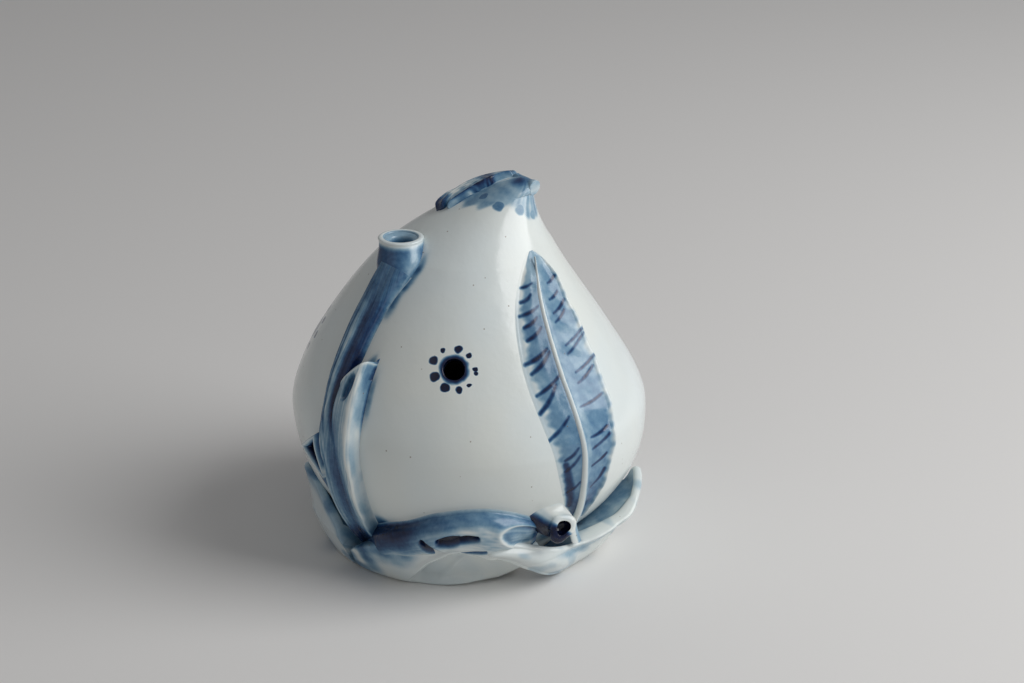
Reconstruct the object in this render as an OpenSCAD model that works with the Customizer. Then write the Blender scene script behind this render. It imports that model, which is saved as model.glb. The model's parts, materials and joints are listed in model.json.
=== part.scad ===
/* [Fruit] */
// Radius of the fruit where it stands on its floor disc
foot_r = 26; // [23:0.5:29]
// How far the side swells out of the foot
foot_swell = 12; // [10:0.5:14]
// How far the side climbs as it leaves the foot
foot_lift = 12; // [10:0.5:13]
// Largest radius of the fruit
belly_r = 41.5; // [38:0.5:45]
// Height of the largest radius
belly_z = 33.5; // [32:0.5:35]
// Length of the belly's curve below its widest point
belly_drop = 11; // [9:0.5:13]
// Length of the belly's curve above its widest point
belly_rise = 10; // [7:0.5:13]
// Radius of the neck below the tip
neck_r = 18.9; // [17:0.1:21]
// Height of the neck
neck_z = 72; // [70:0.5:73.5]
// Slope of the side at the neck, in degrees above level
neck_slope = 46.5; // [43:0.5:50]
// Height of the fruit to the top of its tip
fruit_h = 87.5; // [86.5:0.5:91]
// How far the tip leans to the right
tip_lean = 13.4; // [8:0.1:16]
// Height at which the lean begins
lean_z = 48.5; // [44:0.5:52]
// Thickness of the moulded wall
wall = 4; // [3:0.1:5]
// Depth of the seat of the pinched tip on the two halves, below its top
tip_drop = 3; // [2.5:0.1:4]
// How far the glossy nub stands out of the tip
nub_out = 2.6; // [1:0.1:3.5]

/* [Floor] */
// Thickness of the floor disc
floor_t = 3; // [2.5:0.1:4]
// Height of the bevel around the foot of the floor disc
floor_bevel = 0.6; // [0.3:0.1:1.2]

/* [Spout and air hole] */
// Radius of the spout's outside at the mouth
mouth_r = 5.2; // [4.8:0.1:5.6]
// Height of the mouth
mouth_z = 77; // [76:0.25:78.5]
// Radius of the pouring bore
bore_r = 2.6; // [2.2:0.05:2.8]
// Depth of the dished mouth around the bore
mouth_dish = 1.2; // [0.6:0.1:1.8]
// Radius of the air hole
air_r = 2.4; // [1.5:0.05:2.8]
// Height of the air hole on the front
air_z = 53.8; // [50:0.1:57]

/* [Branches] */
// Height of the main branch above the fruit
branch_h = 4; // [3:0.1:5]
// Height of the cut twig above the fruit
twig_h = 4.6; // [3.6:0.1:5.4]
// Height of the bud twig above the fruit
bud_h = 4.2; // [3.2:0.1:5]
// Height of the base branch above the fruit
base_branch_h = 4.5; // [3.5:0.1:5.2]
// Height of the back branch above the fruit
back_branch_h = 3.4; // [2.5:0.1:4.5]
// Depth of the grooves along the branches
bark_groove = 0.7; // [0.2:0.1:1]
// Radius of the short twig under the front leaf
stub_r = 3.3; // [2.6:0.1:3.8]
// How far the short twig stands out of the fruit
stub_out = 5.3; // [4:0.1:6.5]
// Depth of the hollow in the short twig
stub_hollow = 2.2; // [1:0.1:3]

/* [Leaves] */
// Thickness of the applied leaves
leaf_t = 1.3; // [0.9:0.1:1.8]
// Width of the front leaf left of its midrib
leaf_left = 8; // [7:0.2:10]
// Width of the front leaf right of its midrib
leaf_right = 12.2; // [11:0.2:14]
// Width of the midribs
rib_w = 1.9; // [1.4:0.1:2.6]
// Height of the midribs above the blade
rib_h = 0.9; // [0.5:0.1:1.3]
// Width of the crown leaf
crown_w = 10; // [8:0.5:12]
// Thickness of the wreath leaves at the lip
wreath_t = 2; // [1.6:0.1:2.6]
// How far the wreath reaches out from the floor disc on the table
wreath_foot_out = 6.8; // [5:0.2:8]
// How far the wreath's raised tips stand out from the fruit
wreath_rim_out = 1.9; // [1.7:0.1:4]
// Height of those tips
wreath_h = 20; // [18:0.5:22]

/* [Hidden] */

// Thickness of the slip between two pieces that are stuck together
lute = 0.2;
// Colours of the glazed porcelain and of its cobalt washes
porcelain = [0.89, 0.91, 0.90];
wash = [0.45, 0.58, 0.74];
deep_wash = [0.30, 0.42, 0.62];
pale_wash = [0.74, 0.80, 0.86];

// Curves

// Point at t on a smooth curve that starts and ends at the first and last control points
function curve(p, t) = len(p) == 1 ? p[0]
    : curve([for (i = [0:len(p) - 2]) p[i] * (1 - t) + p[i + 1] * t], t);
// Point at t on a smooth curve that passes through all the points of p, evenly spaced in t
function through(p, t) =
    let(
        n = len(p) - 1, i = min(n - 1, floor(t * n)), f = t * n - i,
        b = p[i], c = p[i + 1],
        a = i > 0 ? p[i - 1] : 2 * b - c, d = i < n - 1 ? p[i + 2] : 2 * c - b
    )
    b + 0.5 * f * (c - a + f * (2 * a - 5 * b + 4 * c - d + f * (3 * (b - c) + d - a)));
// Rounded cross section, s from -1 at one edge to 1 at the other
function dome(s) = sqrt(max(0, 1 - s * s));
// A soft dip of the given half width around the place c
function dip(x, c, w) = exp(-pow((x - c) / w, 2));
// An even row of n + 1 numbers from a to b
function steps(a, b, n) = [for (i = [0:n]) a + (b - a) * i / n];

// The fruit's outline, as radius and height, in three smooth arcs: u runs from 0 to 3

neck_dir = [-cos(neck_slope), sin(neck_slope)];
neck_below = 2;
neck_above = 14;
tip_flat = 4;
seat_z = floor_t;
tip_seat_z = fruit_h - tip_drop;
arcs = [
    [[foot_r, seat_z], [foot_r + foot_swell, seat_z + foot_lift],
        [belly_r, belly_z - belly_drop], [belly_r, belly_z]],
    [[belly_r, belly_z], [belly_r, belly_z + belly_rise],
        [neck_r, neck_z] - neck_dir * neck_below, [neck_r, neck_z]],
    [[neck_r, neck_z], [neck_r, neck_z] + neck_dir * neck_above,
        [tip_flat, fruit_h], [0, fruit_h]]
];
function outline(u) = let(k = min(floor(u), 2)) curve(arcs[k], u - k);
heights = [for (u = steps(0, 3, 120)) [outline(u)[1], u]];
function u_at(z) = lookup(z, heights);
function fruit_r(z) = outline(u_at(z))[0];

// Sideways place of the fruit's centre: a slight sway low in the belly, then the lean of the tip
belly_sway = 1.5;
sway_z = 8;
function lean(z) =
    tip_lean * pow(max(0, z - lean_z) / (fruit_h - lean_z), 4)
    + belly_sway * sin(180 * pow(min(1, max(0, (z - sway_z) / (lean_z - sway_z))), 0.6));

// Direction out of the fruit's side in its outline at u
function side_out(u) =
    let(p = outline(max(0, u - 0.01)), q = outline(min(3, u + 0.01)), d = q - p)
    [d[1], -d[0]] / norm(d);

// Point at angle a, at u on the outline, h above the glazed skin
function skin_u(a, u, h) =
    let(
        o = outline(u), p = outline(max(0, u - 0.01)), q = outline(min(3, u + 0.01)),
        dr = q[0] - p[0], dz = q[1] - p[1], dc = lean(q[1]) - lean(p[1]),
        n = [dz * cos(a), dz * sin(a), -dr - dc * cos(a)]
    )
    [lean(o[1]) + o[0] * cos(a), o[0] * sin(a), o[1]] + n * h / norm(n);
// Point at angle a, at height z on the fruit, h above the glazed skin
function skin(a, z, h) = skin_u(a, u_at(z), h);
// Angle that a width w takes up around the fruit at height z
function turn(w, z) = w / fruit_r(z) * 180 / PI;
// Point at radius r around the fruit's own centre at height z
function ring_point(r, a, z) = [lean(z) + r * cos(a), r * sin(a), z];
// The same point, pushed out until it is clear of the fruit
function clear_of_fruit(p) =
    let(c = lean(p[2]), d = [p[0] - c, p[1]], need = fruit_r(p[2]) + lute, far = norm(d))
    far >= need ? p : [c + d[0] * need / far, d[1] * need / far, p[2]];

// Solids from grids of points

function two(a, b, c, d) = [[a, b, c], [a, c, d]];
function back_to_front(faces) = [for (f = faces) [f[2], f[1], f[0]]];

// Solid between an upper and a lower grid of points with equal rows and columns
module slab(top, low) {
    n = len(top);
    m = len(top[0]);
    k = n * m;
    i0 = floor(n / 2);
    j0 = floor(m / 2);
    p = top[i0][j0];
    inside_out = cross(p - top[i0 - 1][j0], p - top[i0][j0 - 1]) * (p - low[i0][j0]) > 0;
    faces = [
        for (i = [0:n - 2]) for (j = [0:m - 2]) let(a = i * m + j, b = a + m) each concat(
            two(a, b, b + 1, a + 1), two(k + a, k + a + 1, k + b + 1, k + b)),
        for (i = [0:n - 2]) let(a = i * m, b = a + m) each concat(
            two(b, a, k + a, k + b),
            two(a + m - 1, b + m - 1, k + b + m - 1, k + a + m - 1)),
        for (j = [0:m - 2]) let(a = j, b = (n - 1) * m + j) each concat(
            two(a, a + 1, k + a + 1, k + a), two(b + 1, b, k + b, k + b + 1))
    ];
    polyhedron([for (r = top) each r, for (r = low) each r],
        inside_out ? back_to_front(faces) : faces, convexity = 6);
}

// Solid along a row of closed rings with equal numbers of points
module loft(rings) {
    n = len(rings);
    m = len(rings[0]);
    function middle(r) = [for (p = r) 1] * r / m;
    i0 = floor(n / 2);
    p = rings[i0][1];
    inside_out = cross(p - rings[i0 - 1][1], p - rings[i0][0]) * (p - middle(rings[i0])) > 0;
    faces = [
        for (i = [0:n - 2]) for (j = [0:m - 1]) let(a = i * m, b = a + m, j1 = (j + 1) % m) each
            two(a + j, b + j, b + j1, a + j1),
        for (j = [0:m - 1]) let(j1 = (j + 1) % m, b = (n - 1) * m) each
            [[n * m, j, j1], [n * m + 1, b + j1, b + j]]
    ];
    polyhedron([for (r = rings) each r, middle(rings[0]), middle(rings[n - 1])],
        inside_out ? back_to_front(faces) : faces, convexity = 6);
}

// A strip laid on the fruit: each row has a left, a middle and a right place, as angle and
// height; h(t, s) is its upper face and low(t, s) its under face above the skin
function across(row, s) = s < 0 ? row[1] + (row[0] - row[1]) * -s : row[1] + (row[2] - row[1]) * s;
module applique(rows, cols, h, low) {
    n = len(rows) - 1;
    function grid(f) = [for (i = [0:n]) [for (s = cols)
        let(q = across(rows[i], s)) skin(q[0], q[1], f(i / n, s))]];
    slab(grid(h), grid(low));
}
// Rows of a strip; each station gives the angle and height of its left and then its right edge
function strip_rows(stations, n) = [for (t = steps(0, 1, n))
    let(q = through(stations, t), l = [q[0], q[1]], r = [q[2], q[3]]) [l, (l + r) / 2, r]];
// The under face of every strip: a thin layer of slip
stuck = function (t, s) lute;
round_cols = [-1, -0.92, -0.74, -0.5, -0.25, 0, 0.25, 0.5, 0.74, 0.92, 1];
blade_cols = [-1, -0.8, -0.52, -0.2, 0, 0.2, 0.52, 0.8, 1];
// Thickness left at the edge of a rounded strip
edge_t = 0.5;

// Fruit

cavity_cols = 15;
cavity_rows = 12;
cavity_top_u = 2.5;
function cavity(u) = outline(u) - side_out(u) * wall;
cavity_low_u = u_at(seat_z + 0.2);

// One moulded half of the hollow fruit, from angle a0 round to a0 + 180: the outer skin has two
// steps for each step of the chamber's wall, so that the seam and the rim are strips of triangles
module half_shell(a0) {
    n = 2 * cavity_rows;
    m = 2 * cavity_cols;
    wide = m + 1;
    deep = cavity_cols + 1;
    outer = [for (u = steps(0, u_at(tip_seat_z), n)) each
        [for (a = steps(a0, a0 + 180, m)) skin_u(a, u, 0)]];
    inner = [for (u = steps(cavity_low_u, cavity_top_u, cavity_rows)) each
        let(q = cavity(u), z = u == cavity_low_u ? seat_z : q[1])
        [for (a = steps(a0, a0 + 180, cavity_cols)) ring_point(q[0], a, z)]];
    roof_z = cavity(cavity_top_u)[1];
    k = len(outer);
    top = k + len(inner);
    function out(i, j) = i * wide + j;
    function in(i, j) = k + i * deep + j;
    // Three triangles between one step of the chamber's wall and the two outer ones beside it
    function three(a, b, p, q, r) = [[a, p, q], [a, q, b], [b, q, r]];
    skin_faces = [for (i = [0:n - 1]) for (j = [0:m - 1]) each
        two(out(i, j), out(i + 1, j), out(i + 1, j + 1), out(i, j + 1))];
    wall_faces = [for (i = [0:cavity_rows - 1]) for (j = [0:cavity_cols - 1]) each
        two(in(i, j), in(i, j + 1), in(i + 1, j + 1), in(i + 1, j))];
    rim_faces = [for (j = [0:cavity_cols - 1]) each
        three(in(0, j), in(0, j + 1), out(0, 2 * j), out(0, 2 * j + 1), out(0, 2 * j + 2))];
    seam_faces = [for (i = [0:cavity_rows - 1]) each concat(
        back_to_front(three(in(i, 0), in(i + 1, 0), out(2 * i, 0), out(2 * i + 1, 0), out(2 * i + 2, 0))),
        three(in(i, cavity_cols), in(i + 1, cavity_cols),
            out(2 * i, m), out(2 * i + 1, m), out(2 * i + 2, m)))];
    end_faces = concat(
        [for (j = [0:m - 1]) [out(n, j), top, out(n, j + 1)]],
        [for (j = [0:cavity_cols - 1]) [in(cavity_rows, j), in(cavity_rows, j + 1), top + 1]],
        two(out(n, 0), in(cavity_rows, 0), top + 1, top),
        two(top, top + 1, in(cavity_rows, cavity_cols), out(n, m)));
    polyhedron(concat(outer, inner, [ring_point(0, 0, tip_seat_z), ring_point(0, 0, roof_z)]),
        concat(skin_faces, wall_faces, rim_faces, seam_faces, end_faces), convexity = 8);
}

// Place and direction of the air hole, square to the skin
air_a = -93;
air_at = skin(air_a, air_z, 0);
air_out = skin(air_a, air_z, 1) - air_at;
// Centre of the mouth, straight above the pouring bore
mouth_at = [-13.9, -10, mouth_z];

module air_hole() {
    translate(air_at)
        rotate([0, acos(air_out[2]), atan2(air_out[1], air_out[0])])
            cylinder(r = air_r, h = 4 * wall, center = true, $fn = 48);
}
module pouring_bore() {
    reach = 16;
    translate(mouth_at - [0, 0, reach]) cylinder(r = bore_r, h = reach + 2, $fn = 48);
}
module peach_front_shell() {
    color(porcelain) difference() {
        half_shell(180);
        air_hole();
        pouring_bore();
    }
}
module peach_back_shell() {
    color(porcelain) half_shell(0);
}

// Floor disc that closes the fruit, flat and unglazed below, with a trimmed lower edge
module floor_disc() {
    color(porcelain) rotate_extrude($fn = 96)
        polygon([[0, 0], [foot_r - floor_bevel, 0], [foot_r, floor_bevel],
            [foot_r, floor_t], [0, floor_t]]);
}

// Pinched tip with its glossy nub, set on the two halves
nub_a = -28;
nub_spread = 46;
nub_droop = 0.15;
module peach_tip() {
    sides = 28;
    u0 = u_at(tip_seat_z);
    us = steps(u0, 2.94, 7);
    color(wash) loft([for (u = us) [for (j = [0:sides - 1])
        let(
            a = 360 * j / sides,
            off = (a - nub_a + 540) % 360 - 180,
            rise = sin(180 * pow((u - u0) / (3 - u0), 0.75)),
            swell = nub_out * rise * dip(off, 0, nub_spread)
        )
        skin_u(a, u, 0) + swell * [cos(a), sin(a), -nub_droop]]]);
}

// Spout

// Foot of the spout where the main branch ends: angle, height and width
spout_foot = [-138.3, 65.6, 5.4];
// The spout's middle line bends to the right above its foot, and its width grows in the middle
spout_knee = [-11.6, -14.5, 71.5];
flare_from = 0.05;
flare_to = 0.7;
module spout_tube() {
    sides = 24;
    lip = 0.7;
    foot_a = spout_foot[0];
    foot_z = spout_foot[1];
    foot_at = skin(foot_a, foot_z, lute);
    half_turn = turn(spout_foot[2] / 2, foot_z);
    foot_ring = [for (j = [0:sides - 1]) let(g = 360 * j / sides)
        skin(foot_a - half_turn * cos(g), foot_z, lute + branch_h * 0.62 * max(0, sin(g))) - foot_at];
    // The mouth's ring starts on the left and turns the same way round, past the outer side
    function ring(r) = [for (j = [0:sides - 1]) let(a = foot_a - 90 + 360 * j / sides)
        [r * cos(a), r * sin(a), 0]];
    function mouth_ring(r, z) = [for (p = ring(r)) [mouth_at[0] + p[0], mouth_at[1] + p[1], z]];
    neck_top = [mouth_at[0], mouth_at[1], mouth_z - lip];
    collar = ring(mouth_r - lip * 0.3);
    function flare(t) = let(x = min(1, max(0, (t - flare_from) / (flare_to - flare_from))))
        x * x * (3 - 2 * x);
    body_rings = [for (t = steps(0, 1, 9))
        let(c = curve([foot_at, spout_knee, neck_top], t), f = flare(t))
        [for (j = [0:sides - 1]) clear_of_fruit(c + foot_ring[j] * (1 - f) + collar[j] * f)]];
    lip_rings = [
        mouth_ring(mouth_r, mouth_z - lip * 0.5),
        mouth_ring(mouth_r - lip * 0.4, mouth_z),
        mouth_ring(mouth_r - lip * 1.4, mouth_z - lip * 0.15),
        mouth_ring(bore_r + 0.1, mouth_z - mouth_dish)
    ];
    color(wash) difference() {
        loft(concat(body_rings, lip_rings));
        pouring_bore();
    }
}

// Branches

// Every branch is a strip on the fruit, given by the angle and height of its two edges
// The main branch climbs from the foot to the spout; above the fork the cut twig takes its right side
main_path = [
    [-135.5, 8.5, -127.5, 9.5], [-136.3, 17, -125.4, 17], [-137.3, 26, -124.3, 25.5],
    [-138.6, 34, -123.9, 31.5], [-139.6, 41.5, -134.3, 40.6], [-141.6, 48, -134, 48],
    [-143.8, 55, -132.2, 55], [-144.2, 60.5, -132, 60.5], [-143, 65.4, -132.6, 65.4]
];
module main_branch() {
    bark = function (t, s) 1 - bark_groove / branch_h
        * (dip(s, -0.45, 0.16) + dip(s, 0.35, 0.2) * min(1, t * 2));
    tall = function (t) branch_h * (1 - 0.36 * t) * min(1, 0.75 + 3 * t);
    color(wash) applique(strip_rows(main_path, 20), round_cols,
        function (t, s) lute + edge_t + tall(t) * pow(dome(s), 0.9) * bark(t, s), stuck);
}

// The cut twig forks off to the right and ends in a slanting cut with an oval hollow
twig_path = [
    [-133.8, 41.5, -123.5, 33.4], [-133, 43.8, -123.2, 40], [-133.2, 46.8, -123.5, 46],
    [-131.6, 50, -124.2, 50.6], [-128.4, 52, -124.6, 52.8]
];
module cut_twig() {
    color(wash) applique(strip_rows(twig_path, 15), round_cols,
        function (t, s) lute + edge_t + twig_h * pow(dome(s), 0.8)
            * min(1, 0.7 + t) * (1 - 0.35 * pow(max(0, t - 0.6) / 0.4, 2) * (1 - s))
            - 1.3 * dip(t, 0.68, 0.13) * dip(s, -0.45, 0.25),
        stuck);
}

// The bud twig leaves the branch to the left and ends in a cut bud with a deep hollow
bud_path = [
    [-139, 20.5, -136.9, 22.5], [-141.7, 24, -138.3, 28], [-144.6, 27.8, -139.7, 33],
    [-147.2, 31.8, -140.6, 37.6]
];
module bud_twig() {
    color(deep_wash) applique(strip_rows(bud_path, 15), round_cols,
        function (t, s) lute + edge_t + bud_h * pow(dome(s), 0.8) * min(1, 0.6 + t)
            - 2.4 * dip(t, 0.84, 0.12) * dip(s, -0.1, 0.42),
        stuck);
}

// The base branch runs around the front and ends on the right in a slanting oval cut
base_path = [
    [-119.5, 9.4, -120, 13.8], [-110.5, 10.6, -111, 17.5], [-100, 12.4, -100.4, 21.3],
    [-88, 13.2, -88, 22.9], [-77.5, 11.6, -77.5, 21.8], [-67.5, 9.2, -65.6, 17.6]
];
module base_branch() {
    color(pale_wash) applique(strip_rows(base_path, 22), round_cols,
        function (t, s) lute + edge_t + base_branch_h * pow(dome(s), 0.8)
            * (1 - 0.62 * pow(max(0, t - 0.72) / 0.28, 1.5))
            - 1.1 * dip(t, 0.2, 0.05) * dip(s, -0.2, 0.3)
            - 1.2 * dip(t, 0.42, 0.12) * dip(s, 0.05, 0.16),
        stuck);
}

// The back branch climbs the back and carries the crown leaf
back_path = [
    [94, 4, 107, 4], [95, 24, 107, 24], [96, 45, 107, 45], [93, 63, 104, 63],
    [78, 76, 94, 76], [54, 83.6, 76, 84]
];
module back_branch() {
    color(wash) applique(strip_rows(back_path, 18), round_cols,
        function (t, s) lute + edge_t + back_branch_h * (1 - 0.5 * t) * pow(dome(s), 0.9)
            * (1 - bark_groove / back_branch_h * (dip(s, -0.4, 0.18) + dip(s, 0.4, 0.18))),
        stuck);
}

// The short broken twig beside the front leaf's stalk, with a hollow end
stub_root = [-64, 19.8];
stub_a = -60.5;
stub_z = 17.5;
stub_end = ring_point(fruit_r(stub_z) + stub_out, stub_a, stub_z);
stub_dir = [0.36, -0.88, 0.3] / norm([0.36, -0.88, 0.3]);
module leaf_stub() {
    sides = 20;
    side = cross([0, 0, 1], stub_dir) / norm(cross([0, 0, 1], stub_dir));
    up = cross(stub_dir, side);
    function disc(c, r) = [for (j = [0:sides - 1]) let(g = 360 * j / sides)
        c + r * (side * cos(g) + up * sin(g))];
    root = [for (j = [0:sides - 1])
        let(g = 360 * j / sides, w = turn(stub_r * cos(g), stub_root[1]))
        skin(stub_root[0] + w, stub_root[1] + stub_r * 0.8 * sin(g), lute)];
    face = disc(stub_end, stub_r);
    color(pale_wash) loft(concat(
        [for (t = steps(0, 1, 4)) [for (j = [0:sides - 1]) root[j] * (1 - t) + face[j] * t]],
        [disc(stub_end + stub_dir * 0.4, stub_r - 0.5), disc(stub_end, stub_r * 0.68),
            disc(stub_end - stub_dir * stub_hollow, stub_r * 0.5)]));
}

// Leaves

// Midrib of the front leaf, as angle and height
front_rib = [[-50.9, 15.5], [-52, 26], [-51.7, 36], [-51.5, 45], [-51, 55], [-48.1, 64.5], [-42, 72.9]];
front_rows = 22;
// Share of the full width at t along a leaf
function leaf_share(t) = max(0.05, pow(max(0, sin(180 * pow(t, 1.1))), 0.6));
function front_row(t) =
    let(q = through(front_rib, t), w = leaf_share(t), l = turn(leaf_left * w, q[1]),
        r = turn(leaf_right * w, q[1]))
    [[q[0] - l, q[1]], q, [q[0] + r, q[1]]];
waves = 5;
// Upper face of a leaf: scooped beside its midrib, with a gently waved margin
blade = function (t, s) lute + leaf_t * (1 - 0.3 * sin(180 * min(1, max(0, (abs(s) - 0.2) / 0.8))))
    + 0.3 * pow(abs(s), 2) * sin(360 * waves * t + 60 * sign(s));
module front_leaf() {
    color(wash) applique([for (t = steps(0, 1, front_rows)) front_row(t)], blade_cols, blade, stuck);
}

// The midrib lies on its blade and runs on into the stalk below it
rib_cols = [-1, -0.6, 0, 0.6, 1];
stalk_foot = [-50, 13];
stalk_lift = 3.2;
module front_leaf_midrib() {
    stalk = 4;
    rise = lute + leaf_t + lute;
    places = concat(
        [for (v = steps(1, 1 / stalk, stalk - 1)) let(q = front_rib[0] * (1 - v) + stalk_foot * v)
            [q, stalk_lift * v * v]],
        [for (t = steps(0, 0.96, front_rows)) [through(front_rib, t), 0]]);
    n = len(places);
    function half(i) = rib_w / 2 * (i < stalk ? 1.25 : 1 - 0.6 * (i - stalk) / (n - stalk));
    function line(h) = [for (i = [0:n - 1]) let(q = places[i][0], w = turn(half(i), q[1]))
        [for (s = rib_cols) skin(q[0] + w * s, q[1], rise + places[i][1] + h * dome(s * 0.9))]];
    color(porcelain) slab(line(rib_h), line(0));
}

// The crown leaf lies over the left shoulder of the tip, from its stalk end behind the nub to its
// blunt front end; its middle line is drawn in plan
crown_line = [[12.3, 3.8], [6, 7.2], [0.5, 4], [-4.6, -1.8]];
crown_arch = 0.5;
// Place on the outline, between lo and hi, that lies under the plan point q
function u_under(q, lo, hi, n) =
    let(u = (lo + hi) / 2, o = outline(u))
    n == 0 ? u
        : norm([q[0] - lean(o[1]), q[1]]) < o[0] ? u_under(q, u, hi, n - 1)
        : u_under(q, lo, u, n - 1);
module crown_leaf() {
    ts = steps(0, 1, 14);
    function half(t) = crown_w / 2 * pow(sin(180 * (0.08 + 0.84 * t)), 0.7);
    function place(t, s) =
        let(p = curve(crown_line, t), d = curve(crown_line, t + 0.01) - p,
            q = p + half(t) * s * [d[1], -d[0]] / norm(d), u = u_under(q, 2.1, 2.98, 16))
        [atan2(q[1], q[0] - lean(outline(u)[1])), u];
    blade_h = function (t, s) leaf_t * (1 - 0.25 * sin(180 * min(1, max(0, (abs(s) - 0.2) / 0.8))))
        + crown_arch * sin(180 * t) * dome(s) + rib_h * 0.3 * dip(s, 0, 0.15);
    places = [for (t = ts) [for (s = blade_cols) place(t, s)]];
    function grid(f) = [for (i = [0:len(ts) - 1]) [for (j = [0:len(blade_cols) - 1])
        skin_u(places[i][j][0], places[i][j][1], f(ts[i], blade_cols[j]))]];
    color(wash) slab(grid(function (t, s) lute + blade_h(t, s)), grid(stuck));
}

// Wreath of leaves around the foot

wreath_foot_r = foot_r + wreath_foot_out;
wreath_rim_r = fruit_r(wreath_h) + wreath_rim_out;
function cup_r(z, more) = wreath_foot_r + (wreath_rim_r + more - wreath_foot_r) * pow(z / wreath_h, 0.6);
// Height at which the pocket behind a leaf closes against the fruit
pocket_z = 6;
// Angles from which and to which the front petal runs
front_petal = [-136, -60];
function behind(z) = z < seat_z ? foot_r + lute : fruit_r(z) + lute;
function inner_r(z, more) = max(behind(z),
    min(cup_r(z, more) - wreath_t, behind(z) + max(0, z - pocket_z) * 0.75));
// Closed section of a wreath leaf at angle a, from its lower edge to its lip, for a leaf that
// opens out more or less than the others, or lies over its neighbour by a given thickness
function wreath_section(a, z0, z1, more, over) =
    let(
        top = max(z1, z0 + 0.8),
        low = function (z) over > 0 ? cup_r(z, 0) + lute : inner_r(z, more),
        up = function (z) cup_r(z, more) + over
    )
    concat(
        [for (z = steps(z0, top, 5)) ring_point(up(z), a, z)],
        [ring_point((up(top) + low(top)) / 2, a, top + (up(top) - low(top)) * 0.3)],
        [for (z = steps(top, z0, 5)) ring_point(low(z), a, z)]);
// A leaf from angle a0 to a1; edge and lip_line are the heights of its lower edge and of its lip
// along it, open is how much further than the others it opens out, and its first sections, lap of
// them, lie over the neighbouring leaf
module wreath_leaf(a0, a1, edge, lip_line, open, n, lap = 0) {
    loft([for (i = [0:n]) let(t = i / n) wreath_section(a0 + (a1 - a0) * t,
        max(0, through(edge, t)), through(lip_line, t), through(open, t), i < lap ? wreath_t : 0)]);
}
module wreath_leaf_front() {
    color(porcelain) wreath_leaf(front_petal[0], front_petal[1],
        [0, 0, 0.3, 1.9, 6.3], [5, 6.2, 9.2, 9.4, 8.2], [0, 0, 0, 0], 16);
}
// It runs in front of the front petal's end, from under the base branch down to the table
module wreath_leaf_right() {
    n = 24;
    a0 = -82;
    a1 = -4;
    lap = ceil((front_petal[1] - a0) / (a1 - a0) * n) + 1;
    color(pale_wash) wreath_leaf(a0, a1, [9.8, 8, 2.9, 0.4, 0, 0, 3, 9],
        [10.5, 10.5, 9.6, 8.2, 9, 11.4, 14.8, 17], [0, 0, 0, 0.8, 3, 3.8, 1.8, -0.6], n, lap);
}
module wreath_leaf_left() {
    color(pale_wash) wreath_leaf(-186, -138, [1, 0, 0, 0], [14, 18, 15, 7], [-1.4, -1.2, -1, 0], 12);
}
module wreath_leaf_back_right() {
    color(pale_wash) wreath_leaf(0, 90, [0.5, 0, 0, 0], [5, 12, 13, 6], [0, 0, 0, 0], 16);
}
module wreath_leaf_back_left() {
    color(pale_wash) wreath_leaf(109, 172, [0, 0, 0, 0.5], [5, 12, 13, 5], [0, 0, 0, -1], 16);
}

peach_front_shell();
peach_back_shell();
floor_disc();
peach_tip();
spout_tube();
main_branch();
cut_twig();
bud_twig();
base_branch();
leaf_stub();
back_branch();
front_leaf();
front_leaf_midrib();
crown_leaf();
wreath_leaf_front();
wreath_leaf_right();
wreath_leaf_left();
wreath_leaf_back_right();
wreath_leaf_back_left();
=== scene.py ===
import json
import bpy
import numpy as np
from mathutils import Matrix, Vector


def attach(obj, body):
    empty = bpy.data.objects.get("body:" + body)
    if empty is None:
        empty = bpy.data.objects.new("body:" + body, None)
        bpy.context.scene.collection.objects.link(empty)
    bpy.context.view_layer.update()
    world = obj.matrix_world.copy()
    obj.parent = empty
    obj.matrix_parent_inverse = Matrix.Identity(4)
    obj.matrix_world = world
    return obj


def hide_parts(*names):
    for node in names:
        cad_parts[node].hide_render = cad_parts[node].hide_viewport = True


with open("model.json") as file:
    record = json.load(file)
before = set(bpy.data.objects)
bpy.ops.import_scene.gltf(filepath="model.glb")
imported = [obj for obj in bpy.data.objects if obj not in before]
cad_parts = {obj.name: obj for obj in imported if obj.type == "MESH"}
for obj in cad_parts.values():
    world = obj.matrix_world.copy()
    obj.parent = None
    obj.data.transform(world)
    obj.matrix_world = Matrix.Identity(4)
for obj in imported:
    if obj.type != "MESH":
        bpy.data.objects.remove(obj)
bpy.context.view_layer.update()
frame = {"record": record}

# The fruit is a hollow porcelain peach, pressed in two halves that are luted together with slip and
# glazed as one skin. It stands on its cut foot, and its tip leans to the right.
mm = 0.001
foot_r, foot_z = 26.0, 3.0
belly_r, belly_z = 41.5, 33.5
neck_r, neck_z = 18.9, 72.0
fruit_h = 87.5
wall = 4.0
tip_lean, lean_from = 13.4, 48.5
belly_sway, sway_from = 1.5, 8.0
tip_seat_z = 84.5
chamber_top_u = 2.5
neck_slope = np.radians(46.5)
neck_run = np.array([-np.cos(neck_slope), np.sin(neck_slope)])
neck_at = np.array([neck_r, neck_z])
arcs = np.array([
    [[foot_r, foot_z], [foot_r + 12, foot_z + 12], [belly_r, belly_z - 11], [belly_r, belly_z]],
    [[belly_r, belly_z], [belly_r, belly_z + 10], neck_at - 2 * neck_run, neck_at],
    [neck_at, neck_at + 14 * neck_run, [4, fruit_h], [0, fruit_h]],
])


def outline(u):
    """Radius and height at u, from 0 at the foot to 3 at the tip, on three cubic curves."""
    u = np.asarray(u, float)
    k = np.clip(np.floor(u), 0, 2).astype(int)
    t = (u - k)[..., None]
    c = arcs[k]
    rest = 1 - t
    return (rest ** 3 * c[..., 0, :] + 3 * rest ** 2 * t * c[..., 1, :]
            + 3 * rest * t ** 2 * c[..., 2, :] + t ** 3 * c[..., 3, :])


outline_u = np.linspace(0, 3, 6001)
outline_z = outline(outline_u)[:, 1]


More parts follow.
